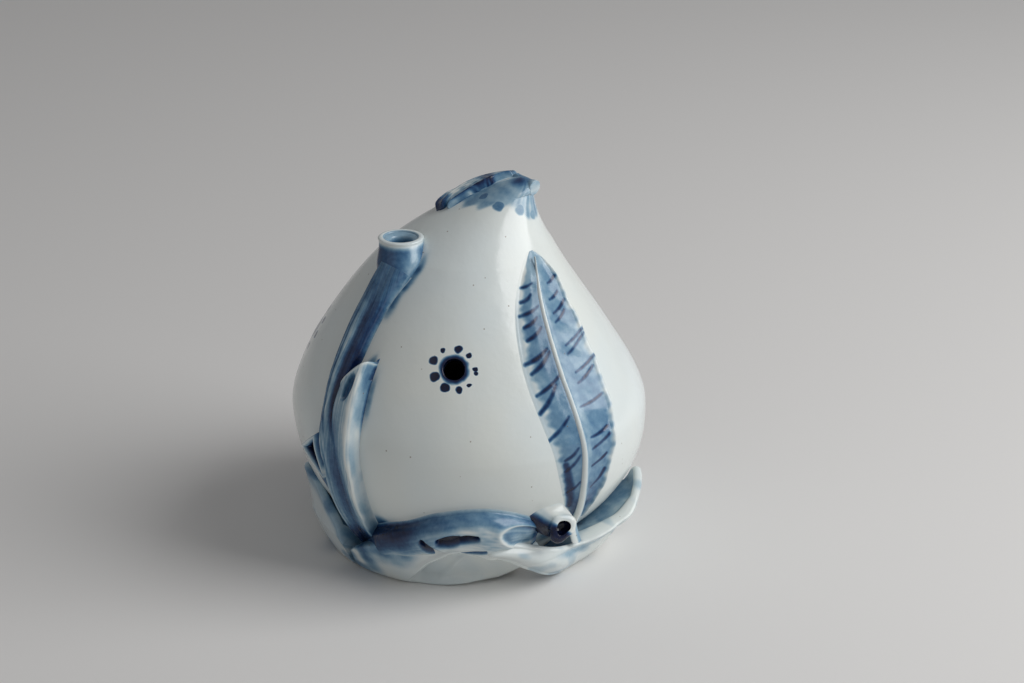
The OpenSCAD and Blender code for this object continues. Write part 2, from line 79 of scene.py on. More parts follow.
def u_at(z):
    """Place on the outline at the height z, read off the outline's own heights."""
    return np.interp(z, outline_z, outline_u)


def lean(z):
    """Sideways shift of the middle line: a slight sway in the belly, then a fourth-power lean."""
    climb = np.clip((z - sway_from) / (lean_from - sway_from), 0, 1)
    high = np.clip((z - lean_from) / (fruit_h - lean_from), 0, None)
    return tip_lean * high ** 4 + belly_sway * np.sin(np.pi * climb ** 0.6)


def skin(a, u, h=0.0):
    """Outline at u turned to a degrees about the leaning line, then lifted h along the normal.

    The normal is the cross product of the steps along the outline and around it.
    """
    a, u, h = np.broadcast_arrays(np.radians(a), np.asarray(u, float), np.asarray(h, float))
    o, p, q = outline(u), outline(np.maximum(u - 0.01, 0)), outline(np.minimum(u + 0.01, 3))
    dr, dz = q[..., 0] - p[..., 0], q[..., 1] - p[..., 1]
    dc = lean(q[..., 1]) - lean(p[..., 1])
    out = np.stack([dz * np.cos(a), dz * np.sin(a), -dr - dc * np.cos(a)], -1)
    out /= np.linalg.norm(out, axis=-1, keepdims=True)
    at = np.stack([lean(o[..., 1]) + o[..., 0] * np.cos(a), o[..., 0] * np.sin(a), o[..., 1]], -1)
    return at + out * h[..., None]


def chamber(a, u):
    """Inner wall: the outline moved in by the wall's thickness, square to itself, and turned."""
    a, u = np.broadcast_arrays(np.radians(a), np.asarray(u, float))
    d = outline(np.minimum(u + 0.01, 3)) - outline(np.maximum(u - 0.01, 0))
    d /= np.linalg.norm(d, axis=-1, keepdims=True)
    r = outline(u)[..., 0] - wall * d[..., 1]
    z = outline(u)[..., 1] + wall * d[..., 0]
    return np.stack([lean(z) + r * np.cos(a), r * np.sin(a), z], -1)


def smooth(x, low, high):
    """Soft step from 0 at low to 1 at high, three x squared less two x cubed."""
    t = np.clip((x - low) / (high - low), 0, 1)
    return t * t * (3 - 2 * t)


def fall(x, low, high):
    """Soft step from 1 at low to 0 at high."""
    return 1 - smooth(x, low, high)


def bump(x, centre, width):
    """Bell curve of height 1 around the centre."""
    return np.exp(-((x - centre) / width) ** 2)


wave_rng = np.random.default_rng(7)
wave_way = wave_rng.normal(size=(12, 3))
wave_start = wave_rng.uniform(0, 2 * np.pi, 12)


def mottle(points, size):
    """Smooth random value near -1 to 1: twelve sine waves in set directions, about size apart."""
    waves = np.sin(points @ wave_way.T * (2.6 / size) + wave_start)
    return waves.sum(-1) / 3.4


def outward(points, faces):
    """The faces, turned round where the volume that they close comes out negative."""
    volume = 0.0
    for corners in faces:
        p = points[corners]
        for i in range(1, corners.shape[1] - 1):
            volume += np.einsum("ij,ij->", p[:, 0], np.cross(p[:, i], p[:, i + 1]))
    return [corners[:, ::-1] for corners in faces] if volume < 0 else faces


glazes = {}


def make_piece(name, points, faces, cobalt, slot, *nodes):
    """Mesh from points in mm and arrays of faces, with the strength of cobalt and painted shade at
    each point.

    It rides on the dropper's one body and takes the place of the named CAD nodes.
    """
    faces = outward(points, faces)
    mesh = bpy.data.meshes.new("glazed_" + name)
    mesh.from_pydata((points * mm).tolist(), [], [f for corners in faces for f in corners.tolist()])
    mesh.polygons.foreach_set("use_smooth", np.ones(len(mesh.polygons), bool))
    mesh.set_sharp_from_angle(angle=np.radians(62))
    layer = mesh.attributes.new("cobalt", "FLOAT", "POINT")
    layer.data.foreach_set("value", np.clip(cobalt, 0, cobalt_most).astype(np.float32))
    mesh.materials.append(glazes[slot])
    piece = bpy.data.objects.new("glazed_" + name, mesh)
    bpy.context.scene.collection.objects.link(piece)
    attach(piece, "root")
    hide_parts(*nodes)


def sheet_faces(rows, cols, start=0, ring=False):
    """Quads of a grid of points, closed into a ring along its rows where asked."""
    i, j = np.meshgrid(np.arange(rows - 1), np.arange(cols if ring else cols - 1), indexing="ij")
    j1 = (j + 1) % cols
    quads = np.stack([i * cols + j, i * cols + j1, (i + 1) * cols + j1, (i + 1) * cols + j], -1)
    return quads.reshape(-1, 4) + start


def fan(ring, middle):
    """Triangles from each side of a ring of point numbers to one middle point."""
    return np.stack([ring, np.roll(ring, -1), np.full(len(ring), middle)], -1)


def capped(grid):
    """Points and faces of a tube of rings, closed at each end by a fan to the ring's middle."""
    rows, side = grid.shape[:2]
    points = np.concatenate([grid.reshape(-1, 3), grid[:1].mean(1), grid[-1:].mean(1)])
    first = np.arange(side)
    last = first + (rows - 1) * side
    return points, [sheet_faces(rows, side, ring=True), fan(first, len(points) - 2)[:, ::-1],
                    fan(last, len(points) - 1)]


porcelain = np.array([0.76, 0.80, 0.79])
absorbs = np.array([4.1, 2.65, 1.65])
cobalt_full = 2.4
cobalt_most = 2.0
brush_wobble = 0.9
iron_brown = (0.16, 0.09, 0.045)
cool_tint, warm_tint = (0.955, 0.985, 1.0), (1.0, 0.995, 0.965)


def bench(tree):
    """Helpers for one node tree: feed a socket, add a node, reckon, ramp colours and mix them."""

    def feed(socket, value):
        if isinstance(value, bpy.types.NodeSocket):
            tree.links.new(value, socket)
        else:
            socket.default_value = value

    def node(kind, **sockets):
        made = tree.nodes.new(kind)
        for key, value in sockets.items():
            feed(made.inputs[key.replace("_", " ")], value)
        return made

    def reckon(operation, *values, kind="ShaderNodeMath"):
        made = tree.nodes.new(kind)
        made.operation = operation
        for socket, value in zip(made.inputs, values):
            feed(socket, value)
        return made.outputs

    def ramp(share, stops):
        made = node("ShaderNodeValToRGB", Fac=share)
        marks = made.color_ramp.elements
        for position, colour in stops[1:-1]:
            marks.new(position)
        for mark, (position, colour) in zip(marks, stops):
            mark.position = position
            mark.color = (*colour, 1)
        return made.outputs["Color"]

    def mix(blend, share, first, second):
        made = tree.nodes.new("ShaderNodeMix")
        made.data_type = "RGBA"
        made.blend_type = blend
        for index, value in ((0, share), (6, first), (7, second)):
            feed(made.inputs[index], value)
        return made.outputs[2]

    return feed, node, reckon, ramp, mix


def new_material(name):
    """New material, its shader, and the helpers for its nodes."""
    material = bpy.data.materials.new(name)
    material.use_nodes = True
    return material, material.node_tree.nodes["Principled BSDF"], bench(material.node_tree)


def glaze(name, dots):
    """Clear glossy glaze over porcelain, painted cobalt and painted shade.

    The cobalt and the painted shade darken the white by an exponential law, red first and blue
    last; each dot is (centre, radius, strength), a soft round touch of the brush around a point in
    mm.
    """
    material, shader, (feed, node, reckon, ramp, mix) = new_material(name)
    place = node("ShaderNodeTexCoord").outputs["Object"]
    strength = node("ShaderNodeAttribute")
    strength.attribute_name = "cobalt"
    density = strength.outputs["Fac"]
    wobble = node("ShaderNodeTexNoise", Vector=place, Scale=520.0, Detail=1.0)
    shifted = reckon("MULTIPLY_ADD", wobble.outputs["Color"], (brush_wobble * mm,) * 3, place,
                     kind="ShaderNodeVectorMath")[0]
    for centre, radius, depth in dots:
        away = reckon("DISTANCE", shifted, [(c + brush_wobble / 2) * mm for c in centre],
                      kind="ShaderNodeVectorMath")["Value"]
        touch = node("ShaderNodeMapRange", Value=away, From_Min=radius * mm * 0.72,
                     From_Max=radius * mm * 1.22, To_Min=depth, To_Max=0.0)
        touch.interpolation_type = "SMOOTHSTEP"
        density = reckon("MAXIMUM", density, touch.outputs[0])[0]
    grit = node("ShaderNodeTexNoise", Vector=place, Scale=900.0, Detail=4.0, Roughness=0.6)
    uneven = reckon("MULTIPLY_ADD", grit.outputs["Fac"], 0.7, 0.65)[0]
    density = reckon("MULTIPLY", density, uneven)[0]
    share = reckon("MINIMUM", reckon("DIVIDE", density, cobalt_full)[0], 1.0)[0]
    blues = [(stop, porcelain * np.exp(-absorbs * stop * cobalt_full) + 0.004 * stop)
             for stop in np.linspace(0, 1, 13)]
    tone = node("ShaderNodeTexNoise", Vector=place, Scale=38.0, Detail=2.0)
    tint = ramp(tone.outputs["Fac"], [(0.35, cool_tint), (0.68, warm_tint)])
    body = mix("MULTIPLY", 1.0, ramp(share, blues), tint)
    specks = node("ShaderNodeTexVoronoi", Vector=place, Scale=380.0)
    spot = node("ShaderNodeMapRange", Value=specks.outputs["Distance"], From_Min=0.05,
                From_Max=0.085, To_Min=1.0, To_Max=0.0)
    split = node("ShaderNodeSeparateColor", Color=specks.outputs["Color"])
    rare = reckon("GREATER_THAN", split.outputs[0], 0.66)[0]
    chosen = reckon("MULTIPLY", spot.outputs[0], rare)[0]
    faint = reckon("MULTIPLY", chosen, 0.62)[0]
    feed(shader.inputs["Base Color"], mix("MIX", faint, body, (*iron_brown, 1)))
    haze = node("ShaderNodeTexNoise", Vector=place, Scale=240.0, Detail=3.0)
    rough = node("ShaderNodeMapRange", Value=haze.outputs["Fac"], From_Min=0.3, From_Max=0.7,
                 To_Min=0.12, To_Max=0.21)
    feed(shader.inputs["Roughness"], rough.outputs[0])
    ripple = node("ShaderNodeTexNoise", Vector=place, Scale=150.0, Detail=2.0)
    peel = node("ShaderNodeTexNoise", Vector=place, Scale=1100.0, Detail=2.0)
    relief = reckon("MULTIPLY_ADD", peel.outputs["Fac"], 0.16, ripple.outputs["Fac"])[0]
    dent = node("ShaderNodeBump", Height=relief, Strength=0.35, Distance=0.00035)
    feed(shader.inputs["Normal"], dent.outputs["Normal"])
    shader.inputs["IOR"].default_value = 1.5
    return material


mounts = {mount["name"]: mount for mount in frame["record"]["mounts"]}
air_mount, bore_mount = mounts["air_hole"], mounts["spout_bore"]
air_r = air_mount["dims"]["r_mm"]
air_mid = np.array(air_mount["pos_m"]) / mm
air_way = np.array(air_mount["axis"])
bore_r = bore_mount["dims"]["r_mm"]
bore_mid = np.array(bore_mount["pos_m"]) / mm
bore_way = np.array([0.0, 0.0, 1.0])
spout_clearance = 0.15
hole_edge = 0.25


def settle(surface, a, u, goal, side, up):
    """Newton steps that move the places a, u until the surface meets the goal across an axis."""
    small = 1e-4
    for _ in range(8):
        here = surface(a, u)
        by_a = (surface(a + small, u) - here) / small
        by_u = (surface(a, u + small) - here) / small
        miss_x, miss_y = goal[..., 0] - here @ side, goal[..., 1] - here @ up
        det = (by_a @ side) * (by_u @ up) - (by_u @ side) * (by_a @ up)
        a = a + (miss_x * (by_u @ up) - miss_y * (by_u @ side)) / det
        u = u + (miss_y * (by_a @ side) - miss_x * (by_a @ up)) / det
    return a, u


def pierced(surface, angles, us, holes, patch, start):
    """Grid of a wall with round holes.

    At each hole a patch of the grid gives way to rings, which run from the patch's edge to the
    hole's circle by even steps in angle and outline. Returns the points, faces and circles.
    """
    cols = len(angles)
    points = [surface(angles[None, :], us[:, None]).reshape(-1, 3)]
    whole = np.ones((len(us) - 1, cols), bool)
    faces, circles = [], []
    count = start + len(points[0])
    for (middle, way, radii, guess), (half_i, half_j) in zip(holes, patch):
        side = np.cross(way, [0.0, 1.0, 0.0])
        side /= np.linalg.norm(side)
        up = np.cross(way, side)
        centre = np.array([middle @ side, middle @ up])
        a_c, u_c = settle(surface, np.array(guess[0]), np.array(guess[1]), centre, side, up)
        i_c = int(round(np.interp(u_c, us, np.arange(len(us)))))
        j_c = int(round((a_c % 360) / 360 * cols)) % cols
        i0, i1, j0, j1 = i_c - half_i, i_c + half_i, j_c - half_j, j_c + half_j
        whole[i0:i1, j0:j1] = False
        edge_i = np.concatenate([np.full(j1 - j0, i0), np.arange(i0, i1), np.full(j1 - j0, i1),
                                 np.arange(i1, i0, -1)])
        edge_j = np.concatenate([np.arange(j0, j1), np.full(i1 - i0, j1), np.arange(j1, j0, -1),
                                 np.full(i1 - i0, j0)])
        edge_a, edge_u = angles[edge_j], us[edge_i]
        edge_at = surface(edge_a, edge_u)
        spread = np.stack([edge_at @ side, edge_at @ up], -1) - centre
        spread /= np.linalg.norm(spread, axis=-1, keepdims=True)
        same = np.ones(len(edge_a))
        near_a, near_u = settle(surface, float(a_c) * same, float(u_c) * same,
                                centre + spread * radii[0], side, up)
        rings = [np.asarray(start + edge_i * cols + edge_j)]
        for share in (0.25, 0.5, 0.75, 1.0):
            points.append(surface(edge_a + (near_a - edge_a) * share,
                                  edge_u + (near_u - edge_u) * share))
            rings.append(count + np.arange(len(edge_a)))
            count += len(edge_a)
        for radius, sink in radii[1]:
            at = settle(surface, near_a, near_u, centre + spread * radius, side, up)
            points.append(surface(*at) - way * sink)
            rings.append(count + np.arange(len(edge_a)))
            count += len(edge_a)
        for outer, inner in zip(rings[:-1], rings[1:]):
            faces.append(np.stack([outer, np.roll(outer, -1), np.roll(inner, -1), inner], -1))
        circles.append(rings[-1])
    quads = sheet_faces(len(us), cols, start, ring=True).reshape(len(us) - 1, cols, 4)
    return np.concatenate(points), [quads[whole]] + faces, circles


def rounded_edge(radius):
    """Rings of a rounded hole edge, as radius and depth around a quarter circle."""
    turns = np.radians([0, 25, 50, 75, 90])
    rings = [(radius + hole_edge * (1 - np.sin(t)), hole_edge * (1 - np.cos(t))) for t in turns]
    return rings[0][0], rings[1:]


fruit_cols, fruit_rows = 320, 160
seat_u = float(u_at(tip_seat_z))
fine_a = np.arange(fruit_cols) * 360 / fruit_cols
coarse_a = fine_a[::2]
fine_u = np.linspace(0, seat_u, fruit_rows + 1)
coarse_u = np.linspace(float(u_at(6.2)), chamber_top_u, fruit_rows // 2 + 1)
outer_holes = [
    (air_mid, air_way, rounded_edge(air_r), (267.0, u_at(54.0))),
    (bore_mid, bore_way, rounded_edge(bore_r + spout_clearance), (216.0, u_at(73.0))),
]
inner_holes = [
    (air_mid, air_way, (air_r, []), (267.0, u_at(52.0))),
    (bore_mid, bore_way, (bore_r + spout_clearance, []), (216.0, u_at(70.0))),
]
outer_points, outer_faces, outer_circles = pierced(
    skin, fine_a, fine_u, outer_holes, [(8, 8), (10, 14)], 0)
inner_points, inner_faces, inner_circles = pierced(
    chamber, coarse_a, coarse_u, inner_holes, [(4, 4), (5, 7)], len(outer_points))
foot_inner_r = 23.2
foot_turn = np.radians(coarse_a)
foot_ring = np.stack([foot_inner_r * np.cos(foot_turn), foot_inner_r * np.sin(foot_turn),
                      np.full(len(coarse_a), foot_z)], -1)
roof_at = chamber(0, chamber_top_u)[2]
ends = np.array([[lean(tip_seat_z), 0, tip_seat_z], [lean(roof_at), 0, roof_at]])
fruit_points = np.concatenate([outer_points, inner_points, foot_ring, ends])
foot_start = len(outer_points) + len(inner_points)
foot_line = foot_start + np.arange(len(coarse_a))
inner_first = len(outer_points) + np.arange(len(coarse_a))
inner_last = inner_first + (fruit_rows // 2) * len(coarse_a)
outer_first = np.arange(fruit_cols)
outer_last = outer_first + fruit_rows * fruit_cols


def bridge(fine, coarse):
    """Faces between a ring and another ring with half as many points."""
    a, b, c = fine[0::2], fine[1::2], np.roll(fine[0::2], -1)
    p, q = coarse, np.roll(coarse, -1)
    return [np.stack([b, a, p], -1), np.stack([b, p, q], -1), np.stack([b, q, c], -1)]


fruit_faces = outer_faces + [f[:, ::-1] for f in inner_faces]
for fine, coarse in zip(outer_circles, inner_circles):
    fruit_faces += bridge(fine, coarse)
fruit_faces += [f[:, ::-1] for f in bridge(outer_first, foot_line)]
fruit_faces.append(np.stack([foot_line, np.roll(foot_line, -1), np.roll(inner_first, -1),
                             inner_first], -1)[:, ::-1])
fruit_faces.append(fan(outer_last, len(fruit_points) - 2))
fruit_faces.append(fan(inner_last, len(fruit_points) - 1)[:, ::-1])


def on_fruit(places):
    """Brush touches at angles and heights on the fruit, each with its radius and strength."""
    return [(skin(a, u_at(z)), radius, depth) for a, z, radius, depth in places]


# A flower of dots around the air hole, part of another on the left side, and a row below the tip
# The first touch, centred down the air hole, darkens its walls as painted shade and its rim as
# cobalt.
dots = [(air_mid - 1.9 * air_way, 3.3, 2.4)] + on_fruit([
    (-93, 53.8, 3.05, 2.2), (-98, 57.2, 0.55, 2), (-91.5, 57.5, 0.85, 2), (-86.8, 56.4, 0.6, 2),
    (-84.6, 53.8, 0.5, 2), (-84.6, 53.0, 0.5, 2), (-87.2, 50.8, 0.5, 2), (-91, 49.9, 0.8, 2),
    (-95.9, 50.3, 1.0, 2), (-100.3, 52.2, 1.0, 2), (-101.5, 55.3, 0.95, 2),
    (176, 50, 2.6, 1.3), (170, 53, 0.9, 1.2), (176, 54.6, 1.0, 1.2), (182, 53, 0.9, 1.2),
    (184, 50, 1.0, 1.2), (182, 46.8, 0.9, 1.2), (176, 45.4, 0.9, 1.2), (170, 46.8, 0.9, 1.2),
    (-140.8, 84.4, 1.2, 0.7), (-93.1, 83.3, 1.25, 0.55), (-52.4, 82.2, 1.25, 0.38),
    (-24.3, 80.2, 1.2, 0.3), (10, 80.6, 1.2, 0.45), (48, 81.6, 1.2, 0.5), (128, 82.2, 1.3, 0.6),
])
for slot_name in ("white_glaze", "blue_wash_glaze"):
    glazes[slot_name] = glaze(slot_name, dots)

# Lower edge of the wash over the tip, as angles and heights, and how far it runs down in drips
wash_edge_a = [-180, -144, -128.5, -100, -63, -43.6, -20.2, 20, 90, 140, 180]
wash_edge_z = [82.4, 82.5, 82.8, 83.1, 83.0, 81.1, 78.8, 81.0, 82.4, 82.5, 82.4]


def turn_of(at):
    """Angle in degrees of points about the leaning middle line."""
    return np.degrees(np.arctan2(at[..., 1], at[..., 0] - lean(at[..., 2])))


def twig_cut(a):
    """Height at which the cut twig's slanting end stands, a straight line over the angle."""
    return 48.6 + (a + 133.2) * 0.625


def tip_wash(at):
    """Cobalt washed over the tip: even above its wavy lower edge, with pale drips between."""
    a = turn_of(at)
    low = np.interp(a, wash_edge_a, wash_edge_z) + 0.35 * np.sin(np.radians(a) * 13)
    drips = 0.25 * np.sin(np.radians(a) * 31 + 2) + 0.2 * np.sin(np.radians(a) * 17)
    deep = 0.24 + 0.16 * fall(a, -130, -80) + 0.08 * mottle(at, 3.0)
    return deep * (1 + drips * smooth(a, -90, -50)) * smooth(at[..., 2] - low, -0.5, 0.6)


def pooled_and_shade(at):
    """Cobalt that ran onto the fruit beside the spout, the branch's foot, the twig and the stub,
    with painted shade beside and under them.
    """
    a, z = turn_of(at), at[..., 2]
    branch_side = np.interp(z, [61, 65.4, 68.7, 71.8, 74.5],
                            [-130.6, -129.4, -126.4, -125.2, -128.6])
    by_spout = 0.6 * bump(a, branch_side, 2.4) * smooth(z, 60, 64) * fall(z, 71, 75)
    by_foot = 1.3 * np.exp(-((a + 121.5) / 4.5) ** 2 - ((z - 13.5) / 2.8) ** 2)
    by_cut = 1.1 * bump(z, twig_cut(a) + 0.6, 1.2) * smooth(a, -133, -131) * fall(a, -128, -125.5)
    by_twig = 0.3 * bump(a, -124.3, 1.0) * smooth(z, 39, 45) * fall(z, 48, 52.5)
    by_stub = 0.9 * np.exp(-((a + 54) / 6) ** 2 - ((z - 13.0) / 3.4) ** 2)
    return (by_spout + by_foot + by_cut + by_twig + by_stub) * (1 + 0.35 * mottle(at, 3.0))


outside = np.arange(len(fruit_points)) < len(outer_points)
fruit_cobalt = np.where(outside, tip_wash(fruit_points) + pooled_and_shade(fruit_points), 0)
make_piece("fruit", fruit_points, fruit_faces, fruit_cobalt, "white_glaze",
           "peach_front_shell", "peach_back_shell")

# The tip is pinched out of the last clay over the two halves and smoothed across their rim. A short
# stalk runs over it from the crown leaf and ends in a glossy bead on its right side.
tip_a = np.arange(240) * 1.5
tip_from = float(u_at(tip_seat_z - 0.9))
tip_u = np.linspace(tip_from, 2.988, 110)
tip_rise = np.sin(np.pi * np.clip((tip_u - seat_u) / (3 - seat_u), 0, 1) ** 0.75)
tip_off = (tip_a + 28 + 180) % 360 - 180
tip_swell = 1.1 * tip_rise[:, None] * bump(tip_off[None, :], 0, 46)
tip_turn = np.radians(tip_a)
tip_push = np.stack([np.cos(tip_turn), np.sin(tip_turn), np.full(len(tip_a), -0.15)], -1)
tip_sunk = -0.3 * fall(tip_u, tip_from, seat_u) ** 2
tip_grid = skin(tip_a[None, :], tip_u[:, None], tip_sunk[:, None]) + tip_swell[..., None] * tip_push
stalk_from, bead_at = np.array([11.8, 3.0, 86.8]), np.array([16.3, -2.1, 85.7])
stalk_run = bead_at - stalk_from
stalk_share = np.clip((tip_grid - stalk_from) @ stalk_run / (stalk_run @ stalk_run), 0, 1)
stalk_near = stalk_from + stalk_share[..., None] * stalk_run
stalk_off = np.linalg.norm(tip_grid - stalk_near, axis=-1)
stalk_r = 1.0 + 0.75 * smooth(stalk_share, 0.55, 0.95)
stalk_out = (stalk_off + stalk_r + np.sqrt((stalk_off - stalk_r) ** 2 + 0.12)) / 2
stalk_push = stalk_out / np.maximum(stalk_off, 0.05)
tip_grid = stalk_near + (tip_grid - stalk_near) * stalk_push[..., None]
on_stalk = smooth(stalk_r + 0.5 - stalk_off, 0, 0.6)
# Painted shade in the dip under the stalk, where it leaves the crown leaf.
saddle_shade_at = [12.9, -1.6, 87.2]
saddle_shade = bump(np.linalg.norm(tip_grid - saddle_shade_at, axis=-1), 0, 1.7)
tip_blue = tip_wash(tip_grid) + 0.95 * saddle_shade
tip_blue = tip_blue + on_stalk * (0.25 - 0.3 * smooth(stalk_share, 0.7, 1.0))
make_piece("tip", *capped(tip_grid), np.append(tip_blue.ravel(), [0.2, 0.4]),
           "blue_wash_glaze", "peach_tip")

# The spout is a short tube, thrown or rolled by itself, with a dished mouth. It is stuck on where
# the main branch ends and blended into it, and the pouring bore runs straight down into the fruit.


def circle(count):
    """Angles of evenly spaced points around a circle, in radians."""
    return np.arange(count) * 2 * np.pi / count


spout_foot_a, spout_foot_z, spout_foot_w = -138.0, 63.0, 6.4
spout_knee = np.array([-13.2, -13.2, 69.5])
mouth_r, mouth_z, mouth_dish, lip_r = 5.2, 77.0, 1.2, 0.7
mouth_at = np.array([bore_mid[0], bore_mid[1], mouth_z])
spout_turn = circle(96)
spout_a = np.radians(spout_foot_a - 90) + spout_turn
spout_way = np.stack([np.cos(spout_a), np.sin(spout_a), 0 * spout_a], -1)
foot_u = u_at(spout_foot_z)
foot_at = skin(spout_foot_a, foot_u, 0.0)
foot_half = np.degrees(spout_foot_w / 2 / outline(foot_u)[0])
foot_ring_at = skin(spout_foot_a - foot_half * np.cos(spout_turn), foot_u,
                    -0.6 + 2.4 * np.clip(np.sin(spout_turn), 0, None)) - foot_at


def mouth_ring(radius, z):
    """Level ring around the mouth's centre."""
    ring = mouth_at + radius * spout_way
    ring[:, 2] = z
    return ring


def outside_fruit(points, gap):
    """The points, moved level away from the middle line where less than gap off the fruit."""
    centre = np.stack([lean(points[..., 2]), 0 * points[..., 2]], -1)
    way = points[..., :2] - centre
    far = np.linalg.norm(way, axis=-1, keepdims=True)
    need = outline(u_at(points[..., 2]))[..., :1] + gap
    flat = centre + way * np.maximum(1, need / far)
    return np.concatenate([flat, points[..., 2:]], -1)


spout_t = np.linspace(0, 1, 70)[:, None]
neck_top = mouth_at - [0, 0, lip_r]
rest_t = 1 - spout_t
spout_line = rest_t ** 2 * foot_at + 2 * spout_t * rest_t * spout_knee + spout_t ** 2 * neck_top
flare = smooth(spout_t, 0.05, 0.7)[..., None]
collar = (mouth_r - 0.2) * spout_way
belly = 0.25 * bump(spout_t, 0.72, 0.16)[..., None] * spout_way
spout_rings = spout_line[:, None] + foot_ring_at * (1 - flare) + collar * flare + belly
spout_rings = outside_fruit(spout_rings, -0.35)
lip_turn = np.radians(np.linspace(10, 180, 12))
lip_low = mouth_z - lip_r * 0.6
lip_rings = [mouth_ring(mouth_r - lip_r + lip_r * np.cos(t), lip_low + lip_r * 0.6 * np.sin(t))
             for t in lip_turn]
dish_r = mouth_r - 2 * lip_r
dish_rings = [mouth_ring(dish_r + (bore_r + 0.2 - dish_r) * t, lip_low - 0.5 * t ** 1.5)
              for t in np.linspace(0.12, 1, 10)]
bore_z = np.concatenate([[mouth_z - 1.2, mouth_z - mouth_dish - 0.9], np.linspace(74, 64.5, 8)])
bore_rings = [mouth_ring(bore_r, z) for z in bore_z]
spout_grid = np.concatenate([spout_rings, np.stack(lip_rings + dish_rings + bore_rings)])
spout_count, spout_side = spout_grid.shape[:2]
spout_first = np.arange(spout_side)
spout_last = spout_first + (spout_count - 1) * spout_side
closing = np.stack([spout_last, np.roll(spout_last, -1), np.roll(spout_first, -1), spout_first], -1)
spout_faces = [sheet_faces(spout_count, spout_side, ring=True), closing]
seen_a = (np.degrees(spout_a)[None, :] + 180) % 360 - 180
spout_down = mouth_z - spout_grid[..., 2]
# The sides turned from the lamp are darkened by cobalt and painted shade; the crease low at the
# front and the join with the fruit at the right carry painted shade too.
dark_and_shaded_sides = 0.35 * bump(seen_a, -112, 26) + 0.4 * bump(seen_a, -165, 30)
dark_foot = 0.45 * bump(seen_a, -88, 9) * smooth(spout_down, 4.0, 9.0)
dark_foot = dark_foot + 0.5 * bump(seen_a, -40, 14) * smooth(spout_down, 5, 9)
# The band paler at the right is a painted highlight on the side that faces the lamp.
spout_blue = 0.52 + dark_and_shaded_sides + dark_foot - 0.32 * bump(seen_a, -52, 20)
spout_blue = spout_blue + 0.1 * mottle(spout_grid * [1, 1, 0.4], 3.0)
spout_blue = spout_blue * smooth(spout_down, 0.7, 2.2) + 0.03
in_mouth = np.arange(spout_count)[:, None] >= len(spout_rings) + 8
# Inside the mouth the dish and bore are painted darker the deeper they go, as shade.
spout_blue = np.where(in_mouth, 0.3 + 0.7 * smooth(spout_down, 1.2, 3.5), spout_blue)
make_piece("spout", spout_grid.reshape(-1, 3), spout_faces, spout_blue.ravel(), "blue_wash_glaze",
           "spout_tube")

# The main branch is a coil of clay laid up the fruit from its foot to the spout, tooled with bark
# grooves while wet. Its edges are smoothed down with slip, where the glaze and the cobalt gather,
# and painted shade darkens its grooves, creases and foot.


def through(stations, t):
    """Smooth curve through the stations, evenly spaced in t.

    A cubic between each pair, whose slope at a station is half the step between its neighbours.
    """
    p = np.asarray(stations, float)
    n = len(p) - 1
    p = np.concatenate([2 * p[:1] - p[1:2], p, 2 * p[-1:] - p[-2:-1]])
    i = np.clip(np.floor(t * n), 0, n - 1).astype(int)
    f = (t * n - i).reshape(t.shape + (1,) * (p.ndim - 1))
    a, b, c, d = p[i], p[i + 1], p[i + 2], p[i + 3]
    return b + 0.5 * f * (c - a + f * (2 * a - 5 * b + 4 * c - d + f * (3 * (b - c) + d - a)))


def slab(name, top, low, cobalt):
    """Piece between an upper grid of points and a lower one, with the cobalt and painted shade on
    the upper alone.
    """
    rows, cols = cobalt.shape
    edge = np.concatenate([np.arange(cols), np.arange(1, rows) * cols + cols - 1,
                           (rows - 1) * cols + np.arange(cols - 2, -1, -1),
                           np.arange(rows - 2, 0, -1) * cols])
    under = edge + rows * cols
    faces = [sheet_faces(rows, cols), sheet_faces(rows, cols, rows * cols)[:, ::-1],
             np.stack([np.roll(edge, -1), edge, under, np.roll(under, -1)], -1)]
    make_piece(name, np.concatenate([top.reshape(-1, 3), low.reshape(-1, 3)]), faces,
               np.append(cobalt.ravel(), np.zeros(cobalt.size)), "blue_wash_glaze", name)


def laid_on(name, stations, height, blue, rows, cols, skirt=1.2, edge=0.55):
    """Strip of clay laid on the fruit between two edges; a station gives both in angle and height.

    Across it, s runs from -1 to 1. Its face stands at height(t, s, a, z) over a low edge, and
    beyond the edges a skirt of slip falls to the skin by a square law, as the cobalt does in it.
    """
    t = np.linspace(0, 1, rows)
    q = through(stations, t)
    left, right = q[:, None, :2], q[:, None, 2:]
    across = skin(right[..., 0], u_at(right[..., 1])) - skin(left[..., 0], u_at(left[..., 1]))
    half = np.linalg.norm(across, axis=-1) / 2
    core = np.sin(np.linspace(-1, 1, cols) * np.pi / 2) * np.ones((rows, 1))
    apron = np.linspace(0, 1, 9)[1:] * skirt / half
    s = np.concatenate([-1 - apron[:, ::-1], core, 1 + apron], 1)
    off = np.clip(np.abs(s) - 1, 0, None) * half / skirt
    on = np.clip(s, -1, 1)
    place = (left + right) / 2 + (right - left) / 2 * s[..., None]
    u = u_at(place[..., 1])
    a, z = place[..., 0], place[..., 1]
    lift = (height(t[:, None], on, a, z) + edge) * (1 - off) ** 2 - 0.2 * off ** 2
    top = skin(a, u, lift)
    slab(name, top, skin(a, u, -0.9), blue(t[:, None], on, a, z, top) * (1 - off) ** 1.5)


def dome(s, peak=0.0):
    """Rounded section across a strip, highest at the peak."""
    s = np.where(s > peak, (s - peak) / (1 - peak), (s - peak) / (1 + peak))
    return np.sqrt(np.clip(1 - s * s, 0, None))


def quarter(x):
    """Quarter circle that rises from 0 at x of 0 to 1 at x of 1 and stays there."""
    return np.sqrt(1 - (1 - np.clip(x, 0, 1)) ** 2)


